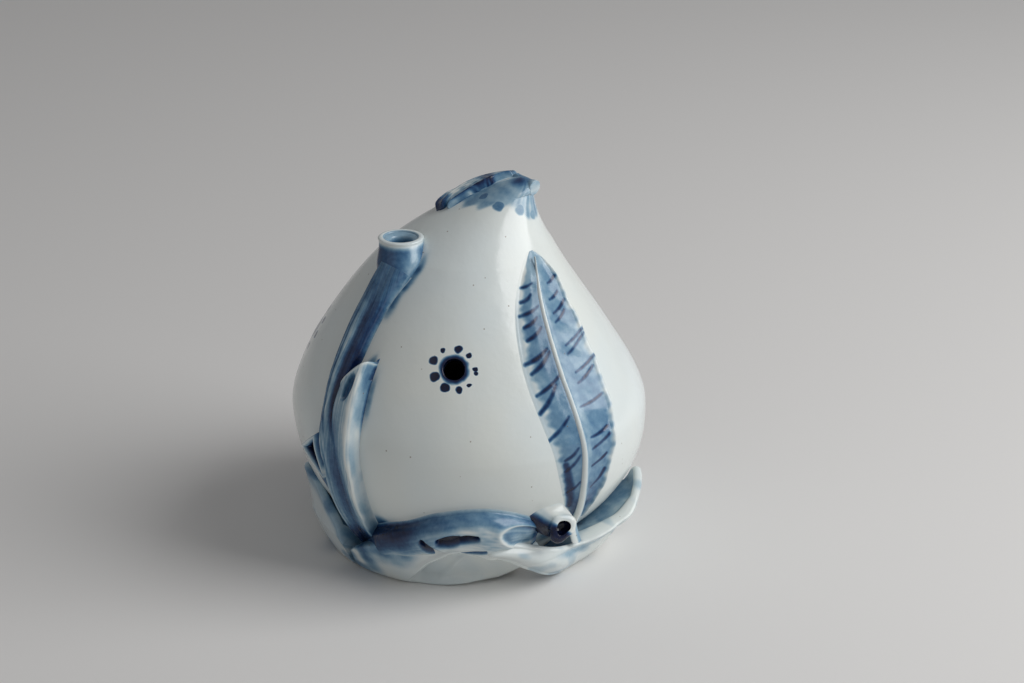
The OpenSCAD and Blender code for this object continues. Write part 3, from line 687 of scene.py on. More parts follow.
def grain(t, s, seed):
    """Fine streaks along a strip, near -1 to 1, that wander a little across it."""
    wander = 0.25 * np.sin(5.1 * t + seed) + 0.12 * np.sin(13.7 * t + 2 * seed)
    coarse, middling = np.sin(15 * (s + wander) + seed), np.sin(27 * (s - wander) + 3 * seed)
    return (coarse + middling + np.sin(41 * s + seed)) / 2.4


def along(z, first, step, values):
    """Smooth curve through values that stand at even heights."""
    t = np.clip((z - first) / (step * (len(values) - 1)), 0, 1)
    return through(np.array(values)[:, None], t)[..., 0]


def stem_field(a, z):
    """Height of the branch alone at a place, and the place across it from -1 to 1."""
    left = along(z, 8, 6.2, [-136, -137, -138, -138.6, -139.2, -140.2, -141.8, -143.8, -146,
                             -147.2, -146.5])
    right = along(z, 8, 6.2, [-127, -127, -126.6, -126.4, -128, -132.2, -133.6, -133.2, -132.4,
                              -131.2, -127])
    s = np.clip((2 * a - left - right) / (right - left), -1, 1)
    tall = along(z, 8, 6.2, [3.0, 3.3, 3.3, 3.2, 3.1, 3.1, 3.0, 2.9, 2.8, 3.1, 5.0])
    bark = 0.07 * np.cos(24 * s + 0.08 * z) * fall(s, -0.4, -0.1)
    low = tall * dome(s, -0.5) ** 0.7 - 0.75 * bump(s, 0.1, 0.4) + bark
    high = tall * dome(s, -0.25) ** 0.8 - 0.3 * bump(s, -0.62, 0.07) - 0.25 * bump(s, -0.32, 0.06)
    fork = smooth(z, 34, 42)
    return low * (1 - fork) + (high - 0.35 * bump(s, 0.3, 0.25)) * fork, s


def ridge_field(a, z):
    """Height of the right ridge, which rises into the cut twig, and the place across it."""
    left = along(z, 8, 5, [-131.5, -131.5, -131.3, -131.4, -132, -133.4, -135, -135.4, -134.8,
                           -134.6])
    right = along(z, 8, 5, [-127, -125.9, -125.4, -125.2, -125.2, -125.2, -125.2, -125.2, -125.1,
                            -125])
    s = np.clip((2 * a - left - right) / (right - left), -1, 1)
    tall = along(z, 8, 5, [1.4, 2.4, 2.8, 2.9, 3.0, 3.3, 3.8, 4.2, 4.3, 4.1])
    tall = tall * fall(z, twig_cut(a) + 0.3, twig_cut(a) + 1.3)
    return tall * dome(s, 0.55) ** (0.95 - 0.45 * smooth(z, 35, 43)), s


def both_fields(a, z):
    """The branch and the ridge joined by a soft maximum, and the ridge's share of it."""
    stem, s = stem_field(a, z)
    ridge, r = ridge_field(a, z)
    joined = (stem + ridge + np.sqrt((stem - ridge) ** 2 + 0.3)) / 2 - 0.1
    return joined, smooth(ridge - stem, -0.45, 0.45), s, r, ridge - stem


def twig_hollow(a, z):
    """The pressed oval in the twig's cut face, from 0 to 1."""
    across, along_it = (a + 129.4 + (z - 47) * -0.34) * 0.68, z - 47
    return smooth(1.25 - np.hypot(across / 1.1, along_it / 2.5), 0, 0.5)


def main_blue(t, strip_s, a, z, at):
    """Cobalt with painted shade: deep in the valley and the creases, pale on the ridges with a
    painted highlight, dark on the right above the fork.
    """
    share, s, r, gap = both_fields(a, z)[1:]
    fork = smooth(z, 35, 40)
    # The valley, the grooves, the left edge, the right side above the fork and the foot are dark
    # with pooled cobalt and painted shade.
    valley_pool_and_shade = 0.55 * bump(s, 0.2, 0.42) * (1 + 0.3 * bump(z, 28, 6)) * (1 - 0.75 * bump(z, 37, 4.5))
    bark = 0.12 * np.cos(24 * s + 0.08 * z + 2.6) * fall(s, -0.4, -0.1)
    low = 0.3 + valley_pool_and_shade + bark + 0.5 * fall(s, -1.0, -0.8)
    high = 0.42 + 0.4 * bump(s, -0.62, 0.08) + 0.35 * bump(s, -0.32, 0.07)
    high = high - 0.2 * bump(s, -0.1, 0.14)
    right_side_pool_and_shade = (0.75 + 0.5 * bump(z, 46, 6)) * smooth(s, 0.05, 0.4)
    high = high + right_side_pool_and_shade - 0.1 * fall(s, -0.95, -0.75)
    high = high + (0.62 - high) * smooth(z, 60, 66)
    face = smooth(z, 38, 44)
    # The ridge's crest is paler with thinner glaze and a painted highlight.
    side = 0.3 - 0.22 * bump(r, 0.66, 0.26) + 0.5 * twig_hollow(a, z)
    side = side + 0.45 * fall(r, -0.45, 0.35) * (1 - face)
    side = side + 0.6 * smooth(r, 0.88, 0.99) * face - 0.1 * bump(z, 40, 4)
    streaks = 0.09 * grain(z / 45, a / 5, 2.0) + 0.07 * mottle(at * [1, 1, 0.35], 2.6)
    blue = (low * (1 - fork) + high * fork) * (1 - share) + side * share + streaks
    # The crease where the branch meets the ridge is dark with pooled cobalt and painted shade.
    crease = 1.5 * smooth(gap, -1.9, -0.5) * fall(gap, -0.1, 0.5)
    crease = crease * smooth(z, 38.5, 43) * fall(z, 52, 55)
    foot_pool_and_shade = 1.3 * fall(z, 11, 17) * (1 - 0.75 * bump(r, 0.6, 0.35) * smooth(z, 11, 13.5))
    return blue + crease + foot_pool_and_shade


def main_height(t, s, a, z):
    """The joined surface, a little sunk where the cut twig's piece carries it."""
    joined, share = both_fields(a, z)[:2]
    return joined - 0.7 * share * smooth(z, 29, 35) + 0.05 * grain(t, a / 5, 1.0)


main_path = [
    [-135.6, 8.5, -127.6, 9.5], [-136.9, 14, -126.4, 14], [-137.8, 20, -125.9, 20],
    [-138.4, 26.5, -125.8, 26.5], [-139, 32, -126.2, 31.5], [-139.8, 37, -129.5, 36],
    [-141, 42, -133.5, 42], [-142.6, 48, -134, 48], [-144.6, 54, -133.4, 54],
    [-146.2, 60, -132.6, 60], [-146.6, 65, -131.4, 65], [-145, 69.5, -128, 69.5],
]
laid_on("main_branch", main_path, main_height, main_blue, 340, 90, edge=0.35)

# The cut twig is a second coil against the main branch's right side, smoothed into it low down. Its
# end is sliced off at a slant and has an oval hollow pressed into it.
twig_path = [
    [-130.5, 25, -125.9, 25], [-132.6, 31, -125.8, 31.5], [-134.6, 36, -125.8, 38.5],
    [-135.4, 40.8, -125.7, 45], [-134.9, 44.8, -125.5, 49.6], [-133.2, 48.6, -125.2, 53.6],
]


def twig_height(t, s, a, z):
    """The joined surface over the ridge, with the hollow, ending in a rounded cut."""
    joined, share = both_fields(a, z)[:2]
    bulge = 1 - np.clip((t - 0.965 + 0.03 * s * s) / 0.035, 0, 1) ** 3
    sunk = 0.7 * (1 - share) + 0.6 * fall(z, 26.5, 31)
    lift = joined - sunk - 1.3 * twig_hollow(a, z) + 0.2 * bump(t, 0.94, 0.03)
    return np.clip(lift, 0, None) * bulge


def twig_blue(t, s, a, z, at):
    """Colour of the twig: as the ridge's, nearly white along the cut's rim and dark over it."""
    rim = bump(t, 0.94, 0.022)
    over = 1.5 * smooth(t, 0.968, 0.99) * fall(s, 0, 0.5)
    return main_blue(t, s, a, z, at) * (1 - 0.8 * rim) + over


laid_on("cut_twig", twig_path, twig_height, twig_blue, 240, 80, skirt=1.0, edge=0.3)

# The bud twig leaves the branch on the left. Its bud was cut open while soft, so it shows a
# three-cornered hollow with a pale rim.
bud_path = [
    [-138.4, 18.5, -136.2, 20.5], [-141, 23.2, -136.2, 27], [-143.8, 28.2, -136.6, 32.5],
    [-146.6, 32.4, -138.6, 38.2],
]
bud_corners = np.array([[-143.3, 32.9], [-139.5, 34.7], [-137.2, 29.2]])
bud_deg_mm = 0.724


def bud_inside(a, z):
    """Distance in mm inside the three-cornered hollow, negative outside: the least of three."""
    p = np.stack(np.broadcast_arrays((a + 141) * bud_deg_mm, z), -1)
    corners = (bud_corners - [-141, 0]) * [bud_deg_mm, 1]
    least = np.full(p.shape[:-1], 9.0)
    for b, c in zip(corners, np.roll(corners, -1, 0)):
        run = (c - b) / np.linalg.norm(c - b)
        least = np.minimum(least, (p[..., 0] - b[0]) * run[1] - (p[..., 1] - b[1]) * run[0])
    return least


def bud_height(t, s, a, z):
    """Round stem that swells into the bud, with a raised rim around its hollow."""
    inside = bud_inside(a, z)
    bud = smooth(inside, -2.0, -0.8)
    stem = fall(t, 0.5, 0.75) * dome(s) ** 0.8 * (1.2 + 2.6 * t)
    hollow = 3.0 * smooth(inside, -0.15, 0.8)
    return np.maximum(stem, 3.3 * bud) + 0.5 * bump(inside, -0.6, 0.4) - hollow


def bud_blue(t, s, a, z, at):
    """Dark stem, cream rim, and a hollow painted nearly black as shade."""
    inside = bud_inside(a, z)
    blue = 0.7 + 0.1 * grain(t, s, 5.0) + 0.6 * smooth(s, 0.0, 0.7)
    pale = 0.3 * fall(s, -0.9, -0.5) * smooth(t, 0.5, 0.8)
    blue = blue * (1 - 0.95 * bump(inside, -0.6, 0.55)) - pale
    # The hollow's near black is painted shade.
    return blue + 2.4 * smooth(inside, -0.1, 0.3)


laid_on("bud_twig", bud_path, bud_height, bud_blue, 200, 90, skirt=0.9)

# The base branch is a thick coil around the front of the foot, nicked twice with a knife, and ends
# on the right in a slanting oval cut.
base_path = [
    [-132, 4.6, -130.5, 12.0], [-121.5, 6.6, -121, 15.2], [-110.8, 9.2, -111, 17.8],
    [-100, 12.4, -100.4, 21.3], [-88, 13.2, -88, 22.9], [-77.5, 12.0, -77.5, 21.8],
    [-66.5, 9.8, -65.0, 17.6],
]
base_h = 4.5
foot_deg_mm = 0.72


def slot_dip(a, z, a0, z0, a1, z1, wide):
    """Soft-edged cut along the line from one place to another, from 0 to 1, wide in mm."""
    run = np.array([(a1 - a0) * foot_deg_mm, z1 - z0])
    x, y = (a - a0) * foot_deg_mm, z - z0
    share = np.clip((x * run[0] + y * run[1]) / (run @ run), 0, 1)
    away = np.hypot(x - share * run[0], y - share * run[1])
    half = wide * (0.5 + 0.5 * np.sin(np.pi * (0.15 + 0.7 * share)))
    return np.exp(-(away / half) ** 3)


def base_marks(a, z):
    """The two knife nicks, the oval cut and the thin line below them, each from 0 to 1."""
    first = slot_dip(a, z, -104.4, 17.2, -98.4, 13.4, 0.95)
    second = slot_dip(a, z, -98.8, 17.9, -93.0, 18.9, 1.15)
    its_tail = slot_dip(a, z, -94.0, 18.7, -87.6, 19.3, 0.8)
    across, up = (a + 72.2 + 0.75 * (z - 17)) / 6.0, (z - 17.2 + 0.2 * (a + 72.2)) / 2.3
    oval = smooth(1.35 - np.hypot(across, up), 0, 0.6)
    line = slot_dip(a, z, -99.5, 13.6, -84.5, 15.8, 0.42)
    return np.maximum(np.maximum(first, second), its_tail), oval, line


def base_height(t, s, a, z):
    """Half round that thins towards its right end, less the nicks, the oval cut and the line."""
    nick, oval, line = base_marks(a, z)
    thinning = 1 - 0.62 * (np.clip(t - 0.767, 0, None) / 0.233) ** 1.5
    tall = base_h * thinning * smooth(t, -0.26, 0.24)
    turn = np.radians(a)
    lumps = (0.18 * np.sin(turn * 17) + 0.12 * np.sin(turn * 41 + s * 3)) * dome(s)
    flank = 2.4 * fall(s, -1.0, -0.2) * bump(a, -83, 7)
    cuts = 1.8 * nick + 0.7 * oval + 0.35 * line - 0.25 * bump(oval, 0.3, 0.3)
    return tall * dome(s) ** 0.8 + flank + lumps - cuts


def base_blue(t, s, a, z, at):
    """Blue along the top, dark at the left with cobalt and painted shade, white below; nearly black
    nicks; blue oval cut; dark past the cut with cobalt and painted shade.
    """
    nick, oval, line = base_marks(a, z)
    blue = 0.15 + 0.1 * mottle(at, 4.0) + 0.5 * smooth(s, 0.6, 0.95) + 0.07 * grain(t, s, 6.0)
    # The left end is darkened by cobalt and painted shade where it meets the trunk's foot.
    blue = blue + 0.3 * fall(a, -104, -88) * smooth(s, -0.5, 0.2)
    blue = blue + 1.1 * fall(a, -115, -103) * smooth(s, 0.0, 0.7)
    blue = blue * (1 - 0.9 * bump(oval, 0.35, 0.3)) + 0.26 * smooth(oval, 0.55, 1.0)
    # Past the oval cut, the hollow towards the stub is dark with cobalt and painted shade.
    blue = blue + 0.8 * smooth(a, -68.5, -65.5) + 0.3 * smooth(a, -75, -67) * smooth(s, 0.5, 0.9)
    bare = 0.85 * fall(s, -0.6, -0.05) * (1 - 0.45 * fall(a, -116, -104))
    return blue * (1 - bare) + 2.3 * nick + 0.9 * line


laid_on("base_branch", base_path, base_height, base_blue, 420, 90)

# The back branch climbs the back from the foot to the crown leaf, a coil of clay like the others.
# The photograph doesn't show it, so it is as plain as such a branch is, with two bark grooves.
back_path = [
    [94, 4, 107, 4], [95, 24, 107, 24], [96, 45, 107, 45], [93, 63, 104, 63],
    [78, 76, 94, 76], [54, 83.6, 76, 84],
]


def back_height(t, s, a, z):
    """Half round, thinner towards its upper end, less two grooves."""
    tall = 3.4 * (1 - 0.5 * t) * (1 - 0.8 * smooth(t, 0.93, 1.0))
    grooves = 0.5 * bump(s, -0.4, 0.12) + 0.5 * bump(s, 0.4, 0.12) - 0.07 * grain(t, s, 3)
    return tall * dome(s) ** 0.9 - grooves * dome(s)


def back_blue(t, s, a, z, at):
    """Uneven wash, deeper in the grooves and along the edges."""
    blue = 0.32 + 0.12 * mottle(at, 7.0) + 0.08 * grain(t, s, 3.5)
    grooves = 0.35 * (bump(s, -0.4, 0.1) + bump(s, 0.4, 0.1))
    return blue + grooves + 0.4 * smooth(np.abs(s), 0.8, 1.0)


laid_on("back_branch", back_path, back_height, back_blue, 260, 60)

# The leaf stub is a short broken twig beside the front leaf's stalk: a lump of clay pinched out by
# hand, with a hollow poked in its end and a smaller one in its left side.
stub_r, stub_hollow = 3.3, 2.4
stub_root_a, stub_root_z = -64.0, 19.8
stub_way = np.array([0.36, -0.88, 0.3])
stub_way = stub_way / np.linalg.norm(stub_way)
stub_side = np.cross([0, 0, 1.0], stub_way)
stub_side = stub_side / np.linalg.norm(stub_side)
stub_up = np.cross(stub_way, stub_side)
stub_a = np.radians(-60.5)
stub_end_r = outline(u_at(17.5))[0] + 5.3
stub_end = np.array([lean(17.5) + stub_end_r * np.cos(stub_a), stub_end_r * np.sin(stub_a), 17.5])
stub_turn = circle(96)


def stub_disc(sink, radius):
    """Lumpy ring square to the stub, sunk below its end."""
    lump = 1 + 0.12 * np.sin(2 * stub_turn + 0.6) + 0.07 * np.sin(3 * stub_turn + 1.5)
    spoke = np.cos(stub_turn)[:, None] * stub_side + np.sin(stub_turn)[:, None] * stub_up
    return stub_end - stub_way * sink + spoke * (radius * lump)[:, None]


stub_wide = np.degrees(stub_r * 1.4 * np.cos(stub_turn) / outline(u_at(stub_root_z))[0])
stub_rise = stub_r * 1.35 * np.sin(stub_turn)
stub_root = skin(stub_root_a + stub_wide, u_at(stub_root_z - 0.4 + stub_rise), -0.4)
stub_body = [stub_root * k ** 1.7 + stub_disc(0.5 + 3 * k, stub_r * 0.98) * (1 - k ** 1.7)
             for k in 1 - np.linspace(0, 1, 34)]
stub_lip = [stub_disc(0.5 - 0.8 * np.sin(t), stub_r * 0.98 - 1.05 + 1.05 * np.cos(t))
            for t in np.radians([15, 30, 45, 60, 75, 90, 104, 116])]
stub_well = [stub_disc(-0.1 + stub_hollow * g ** 0.7, stub_r * (0.58 - 0.3 * g ** 2))
             for g in np.linspace(0.04, 1, 14)]
stub_grid = np.stack(stub_body + stub_lip + stub_well)
stub_dent = stub_end - stub_way * 2.4 - stub_side * 3.3 - stub_up * 0.9
stub_near = np.exp(-(np.linalg.norm(stub_grid - stub_dent, axis=-1) / 1.5) ** 3)
stub_row = np.arange(len(stub_grid))[:, None] * np.ones(len(stub_turn))
stub_outside = stub_row < 40
stub_axis = stub_end + ((stub_grid - stub_end) @ stub_way)[..., None] * stub_way
stub_pressed = 0.36 * stub_near * stub_outside
stub_grid = stub_grid + (stub_axis - stub_grid) * stub_pressed[..., None]
stub_uneven = 0.07 * mottle(stub_grid, 4.5) * (stub_row > 3)
stub_grid = stub_grid + (stub_grid - stub_axis) * stub_uneven[..., None]
stub_blue = 0.05 + 0.06 * mottle(stub_grid, 3.0) + 0.25 * fall(stub_row, 0, 9)
# The end hollow is painted nearly black as shade.
stub_blue = stub_blue + 2.3 * smooth(stub_row, 41, 43.5)
stub_blue = stub_blue + 2.4 * smooth(stub_near, 0.2, 0.65) * stub_outside
# The lower left side and the underside are painted dark as shade.
stub_shaded_side = smooth(-0.8 * np.sin(stub_turn) - 0.6 * np.cos(stub_turn), -0.1, 0.75)
stub_under_shade = stub_shaded_side * (1 + 0.2 * mottle(stub_grid, 3.0)) * smooth(stub_row, 2, 10)
stub_blue = stub_blue + 2.4 * stub_under_shade
make_piece("leaf_stub", *capped(stub_grid), np.append(stub_blue.ravel(), [0.3, 1.8]),
           "blue_wash_glaze", "leaf_stub")

# The front leaf is cut from a rolled sheet, pressed into a veined mould and laid on the fruit with
# slip. Its raised margins stay white; the cobalt is washed between them, then stroked on as veins.
leaf_t = 1.3
leaf_left, leaf_right = 8.0, 12.2
front_rib = [[-50.9, 15.5], [-52, 26], [-51.7, 36], [-51.5, 45], [-51, 55], [-48.1, 64.7],
             [-41.6, 73.9]]
rib_s = (leaf_left - leaf_right) / (leaf_left + leaf_right)


def leaf_share(t):
    """Share of the full width along a leaf, a sine raised to 0.6."""
    return np.maximum(0.05, np.sin(np.pi * np.clip(t, 0, 1) ** 1.1).clip(0) ** 0.6)


leaf_t_at = np.linspace(0, 1, 61)
leaf_rib_at = through(front_rib, leaf_t_at)
leaf_half = np.degrees(leaf_share(leaf_t_at) / outline(u_at(leaf_rib_at[:, 1]))[:, 0])
leaf_path = np.stack([leaf_rib_at[:, 0] - leaf_left * leaf_half, leaf_rib_at[:, 1],
                      leaf_rib_at[:, 0] + leaf_right * leaf_half, leaf_rib_at[:, 1]], -1)
# Brush strokes, each from its end at the midrib to its end at the margin, then its width in mm
vein_strokes = [
    [-49.8, 68, -57.4, 67.8, 0.5], [-52.4, 66.1, -59.3, 65.1, 0.9],
    [-50.5, 63.6, -62.1, 62.6, 0.75], [-53.1, 61.7, -61.1, 60.3, 0.8],
    [-52.8, 59.7, -61.3, 57.8, 0.9], [-53.4, 55.6, -65.1, 53.5, 1.0],
    [-52.9, 55, -63.3, 51.4, 1.0], [-51.7, 50.3, -63.6, 47.2, 0.8],
    [-54.6, 48.8, -64.1, 43.6, 1.15], [-54, 42.2, -63.6, 37.9, 0.95],
    [-53.6, 35.5, -58.7, 33.1, 0.8], [-53.3, 34, -58.8, 30.3, 0.8],
    [-53.5, 27.5, -57.6, 24.6, 0.7], [-39.5, 67, -31.4, 67.8, 0.6],
    [-42.7, 64, -33.7, 64.9, 0.65], [-43.8, 61.3, -31.5, 63, 0.65],
    [-44.8, 59.6, -34.9, 61.3, 0.6], [-44.6, 54.9, -28.8, 57, 0.6],
    [-45.5, 53.2, -31.1, 55.9, 0.6], [-45.1, 49.5, -32.2, 51.2, 0.6],
    [-46.2, 47.4, -34.8, 49.5, 0.75], [-49.4, 43.1, -36, 43.9, 0.6],
    [-48.7, 36.7, -39.5, 37.6, 0.8], [-48.9, 34.2, -39.6, 36.1, 0.75],
    [-49.4, 30.3, -42.1, 32.1, 0.8], [-49, 24.7, -42.8, 28.6, 0.9],
]


def vein_mark(a, z):
    """Deepest of the strokes at a place: each slightly bowed, widest and darkest in its middle."""
    deep = np.zeros(np.broadcast(a, z).shape)
    for a0, z0, a1, z1, wide in vein_strokes:
        scale = np.radians(outline(u_at((z0 + z1) / 2))[0])
        run = np.array([(a1 - a0) * scale, (z1 - z0) * 1.15])
        x, y = (a - a0) * scale, (z - z0) * 1.15
        share = np.clip((x * run[0] + y * run[1]) / (run @ run), 0.04, 0.93)
        bow = 0.45 * wide * np.sin(np.pi * share)
        away = np.hypot(x - share * run[0], y - share * run[1] + bow)
        half = wide * 0.42 * (0.25 + 0.75 * np.sin(np.pi * (0.05 + 0.72 * share)))
        load = 0.55 + 0.45 * np.sin(np.pi * (0.1 + 0.75 * share))
        deep = np.maximum(deep, load * smooth(half + 0.36 - away, 0, 0.75))
    return deep


def leaf_height(t, s, a, z):
    """Sheet with rounded edges, scooped beside the midrib, its right margin raised in waves."""
    left = s < rib_s
    out = np.where(left, (rib_s - s) / (rib_s + 1), (s - rib_s) / (1 - rib_s))
    inward = 1 - np.abs(s)
    rounded = np.where(left, smooth(inward, 0, 0.5), quarter(inward / 0.12))
    sheet = leaf_t * (1 - 0.36 * np.sin(np.pi * np.clip((out - 0.1) / 0.9, 0, 1)))
    wave = 0.2 * out ** 2 * np.sin(2 * np.pi * 7 * t + 1.1 * np.sign(s - rib_s))
    margin = 0.45 * bump(out, 0.9, 0.07) * (1 - left)
    folds = 0.08 * np.sin(z * 1.2 + np.abs(a + 51) * 0.24) * bump(out, 0.55, 0.35)
    ends = smooth(t, 0, 0.03) * (1 - 0.9 * smooth(t, 0.9, 1))
    return (sheet + wave + margin + folds - 0.03 * vein_mark(a, z)) * rounded * ends


def leaf_blue(t, s, a, z, at):
    """Wash between the margins, lavender beside the midrib on the right, under the dark strokes."""
    side = s > rib_s
    out = np.where(side, (s - rib_s) / (1 - rib_s), (rib_s - s) / (rib_s + 1))
    ragged = 0.05 * np.sin(z * 1.45 + 0.4) + 0.03 * np.sin(z * 3.3 + 1)
    bare = 0.86 + 0.1 * fall(z, 30, 48)
    edge_from, edge_to = np.where(side, 0.74, bare - 0.2), np.where(side, 0.93, bare + 0.03)
    inner = fall(out + ragged * np.where(side, 0.5, 1.0), edge_from, edge_to)
    wash = (0.45 + 0.07 * mottle(at, 7.0) + 0.04 * mottle(at, 2.0)) * inner
    wash = wash * (1 + 0.35 * fall(z, 20, 32))
    wash = wash * np.where(side, 0.8 + 0.2 * smooth(out, 0.12, 0.3) + 0.12 * mottle(at, 2.6), 1.0)
    wash = wash * (1 - 0.5 * smooth(t, 0.88, 0.97))
    wash = wash + 0.4 * bump(t, 0.05, 0.07) * fall(out, 0.35, 0.8)
    dark_foot = 0.9 * slot_dip(a, z, -58.2, 32.1, -55.4, 20.7, 0.9)
    shade = 0.11 * smooth(out, 0.72, 0.95) * (1 - side) * fall(z, 62, 70)
    return wash + shade + (1.35 + 0.25 * mottle(at, 2.0)) * vein_mark(a, z) + dark_foot


laid_on("front_leaf", leaf_path, leaf_height, leaf_blue, 330, 100, skirt=1.5, edge=0.06)

# The midrib is a thin thread of rolled clay, stuck along the middle of the leaf with slip. Below
# the blade it lifts off the fruit as the leaf's stalk.
rib_w, rib_h = 2.3, 1.0
stalk_foot, stalk_lift = np.array([-50.0, 13.0]), 3.2
stalk_v = np.linspace(1, 0.02, 30)[:, None]
rib_t = np.linspace(0, 0.975, 230)
stalk_place = np.array(front_rib[0]) * (1 - stalk_v) + stalk_foot * stalk_v
rib_place = np.concatenate([stalk_place, through(front_rib, rib_t)])
rib_lift = np.concatenate([stalk_lift * stalk_v[:, 0] ** 2, 0 * rib_t]) + leaf_t
rib_half = rib_w / 2 * np.concatenate([0.95 + 0.15 * stalk_v[:, 0], 0.95 - 0.5 * rib_t ** 0.7])
rib_half = rib_half * (1 - 0.75 * smooth(np.arange(len(rib_half)), 225, len(rib_half) - 1))
rib_turn = circle(24)
rib_z = rib_place[:, 1:] + 0 * rib_turn
rib_across = rib_half[:, None] * np.cos(rib_turn)
rib_a = rib_place[:, :1] + np.degrees(rib_across / outline(u_at(rib_z))[..., 0])
rib_rise = np.where(np.sin(rib_turn) > 0, rib_h, 0.8) * np.sin(rib_turn)
rib_shrink = (rib_half / rib_half.max())[:, None] ** 0.5
rib_grid = skin(rib_a, u_at(rib_z), rib_lift[:, None] - 0.15 + rib_rise * rib_shrink)
rib_blue = 0.02 + 0.3 * smooth(np.cos(rib_turn), -0.05, 0.45) * (0.8 + 0.25 * mottle(rib_grid, 5.0))
rib_blue = rib_blue + 0.5 * fall(np.sin(rib_turn), -0.3, 0.2) * np.ones((len(rib_grid), 1))
make_piece("front_leaf_midrib", *capped(rib_grid), np.append(rib_blue.ravel(), [0.2, 0.2]),
           "white_glaze", "front_leaf_midrib")

# The crown leaf is folded over the left shoulder of the tip, from its stalk behind the bead to its
# blunt end. It is cut from the same sheet as the front leaf.
crown_w, crown_arch = 10.0, 0.5
crown_line = np.array([[12.3, 3.8], [6, 7.2], [0.5, 4], [-4.6, -1.8]])


def crown_middle(t):
    """Middle line in plan, a cubic curve between its end points."""
    p, r = crown_line, 1 - t
    return r ** 3 * p[0] + 3 * r * r * t * p[1] + 3 * r * t * t * p[2] + t ** 3 * p[3]


def u_under(q, low, high):
    """Outline places that lie under plan points, by halving the range thirty times."""
    low, high = np.full(q.shape[:-1], low), np.full(q.shape[:-1], high)
    for _ in range(30):
        u = (low + high) / 2
        o = outline(u)
        inside = np.hypot(q[..., 0] - lean(o[..., 1]), q[..., 1]) < o[..., 0]
        low, high = np.where(inside, u, low), np.where(inside, high, u)
    return u


crown_t = np.linspace(0, 1, 180)[:, None]
crown_core = np.sin(np.linspace(-1, 1, 64) * np.pi / 2)
crown_apron = np.linspace(0, 1, 7)[1:] * 0.2
crown_s = np.concatenate([-1 - crown_apron[::-1], crown_core, 1 + crown_apron])[None, :]
crown_half = crown_w / 2 * np.sin(np.pi * (0.08 + 0.84 * crown_t)) ** 0.7
crown_step = crown_middle(crown_t + 0.005) - crown_middle(crown_t - 0.005)
crown_side = np.stack([crown_step[:, 1], -crown_step[:, 0]], -1)
crown_side = crown_side / np.linalg.norm(crown_side, axis=-1, keepdims=True)
crown_notch = 0.07 * bump(crown_s, -0.35, 0.22) * smooth(crown_t, 0.75, 1)
crown_out = (crown_half * crown_s)[..., None] * crown_side[:, None]
crown_plan = crown_middle((crown_t - crown_notch)[..., None]) + crown_out
crown_u = u_under(crown_plan, 2.1, 2.98)
crown_x = crown_plan[..., 0] - lean(outline(crown_u)[..., 1])
crown_a = np.degrees(np.arctan2(crown_plan[..., 1], crown_x))
crown_on = np.clip(np.abs(crown_s), 0, 1)
crown_sheet = leaf_t * (1 - 0.3 * np.sin(np.pi * np.clip((crown_on - 0.15) / 0.85, 0, 1)))
crown_sheet = crown_sheet + crown_arch * np.sin(np.pi * crown_t) * dome(crown_on)
crown_sheet = crown_sheet + 0.3 * bump(crown_s, 0, 0.09) + 0.28 * bump(crown_on, 0.9, 0.09)
crown_sheet = crown_sheet + 0.1 * np.sin(crown_t * 44 + crown_on * 7) * bump(crown_on, 0.55, 0.3)
crown_ends = quarter(crown_t / 0.05) * quarter((1 - crown_t) / 0.06)
crown_round = quarter((1 - crown_on) / 0.1) * crown_ends
crown_off = np.clip(np.abs(crown_s) - 1, 0, None) / 0.2
crown_lift = (crown_sheet * crown_round + 0.2) * (1 - crown_off) ** 2 - 0.2 * crown_off ** 2
crown_top = skin(crown_a, crown_u, crown_lift)
crown_lines = 0.16 * grain(crown_t, crown_s, 8.0)
crown_blue = 0.32 + 0.12 * mottle(crown_top, 3.0) + crown_lines
crown_blue = crown_blue - 0.26 * bump(crown_s, -0.15, 0.3) * bump(crown_t, 0.66, 0.22)
crown_band = fall(crown_s, -0.95, -0.62) * smooth(crown_t, 0.22, 0.36) * fall(crown_t, 0.9, 0.99)
crown_blue = crown_blue + 0.65 * crown_band * (1 + 5 * crown_lines)
crown_blue = crown_blue + 0.8 * bump(crown_t, 0.36, 0.09) * fall(crown_s, -0.1, 0.6)
crown_blue = crown_blue + 0.5 * bump(crown_s, 0.5, 0.1) * bump(crown_t, 0.45, 0.15)
crown_blue = crown_blue + 1.1 * smooth(crown_t, 0.82, 0.93) * smooth(crown_s, -0.4, 0.1)
crown_blue = crown_blue + 0.2 * fall(crown_t, 0.1, 0.28)
crown_blue = np.clip(crown_blue, 0, cobalt_most) * (1 - crown_off) ** 1.5
slab("crown_leaf", crown_top, skin(crown_a, crown_u, -0.5), crown_blue)

# The wreath of leaves stands around the foot. Each is a pad of clay pressed flat, stuck to the
# floor's edge and cupped upwards, thick and rounded at its lip, so that a pocket stays behind it.
wreath_t, wreath_foot_out, wreath_rim_out, wreath_h, pocket_z = 2.0, 6.8, 1.9, 20.0, 6.0
wreath_foot_r = foot_r + wreath_foot_out
wreath_rim_r = float(outline(u_at(wreath_h))[0]) + wreath_rim_out


def cup_r(z, more):
    """Outer radius of the wreath, rising from the table by a power of 0.6."""
    climb = (np.clip(z, 0, None) / wreath_h) ** 0.6
    return wreath_foot_r + (wreath_rim_r + more - wreath_foot_r) * climb


def behind(z):
    """Radius at which a leaf meets the floor disc or the fruit, a little inside them."""
    return np.where(z < foot_z, foot_r - 0.05, outline(u_at(z))[..., 0] - 0.25)


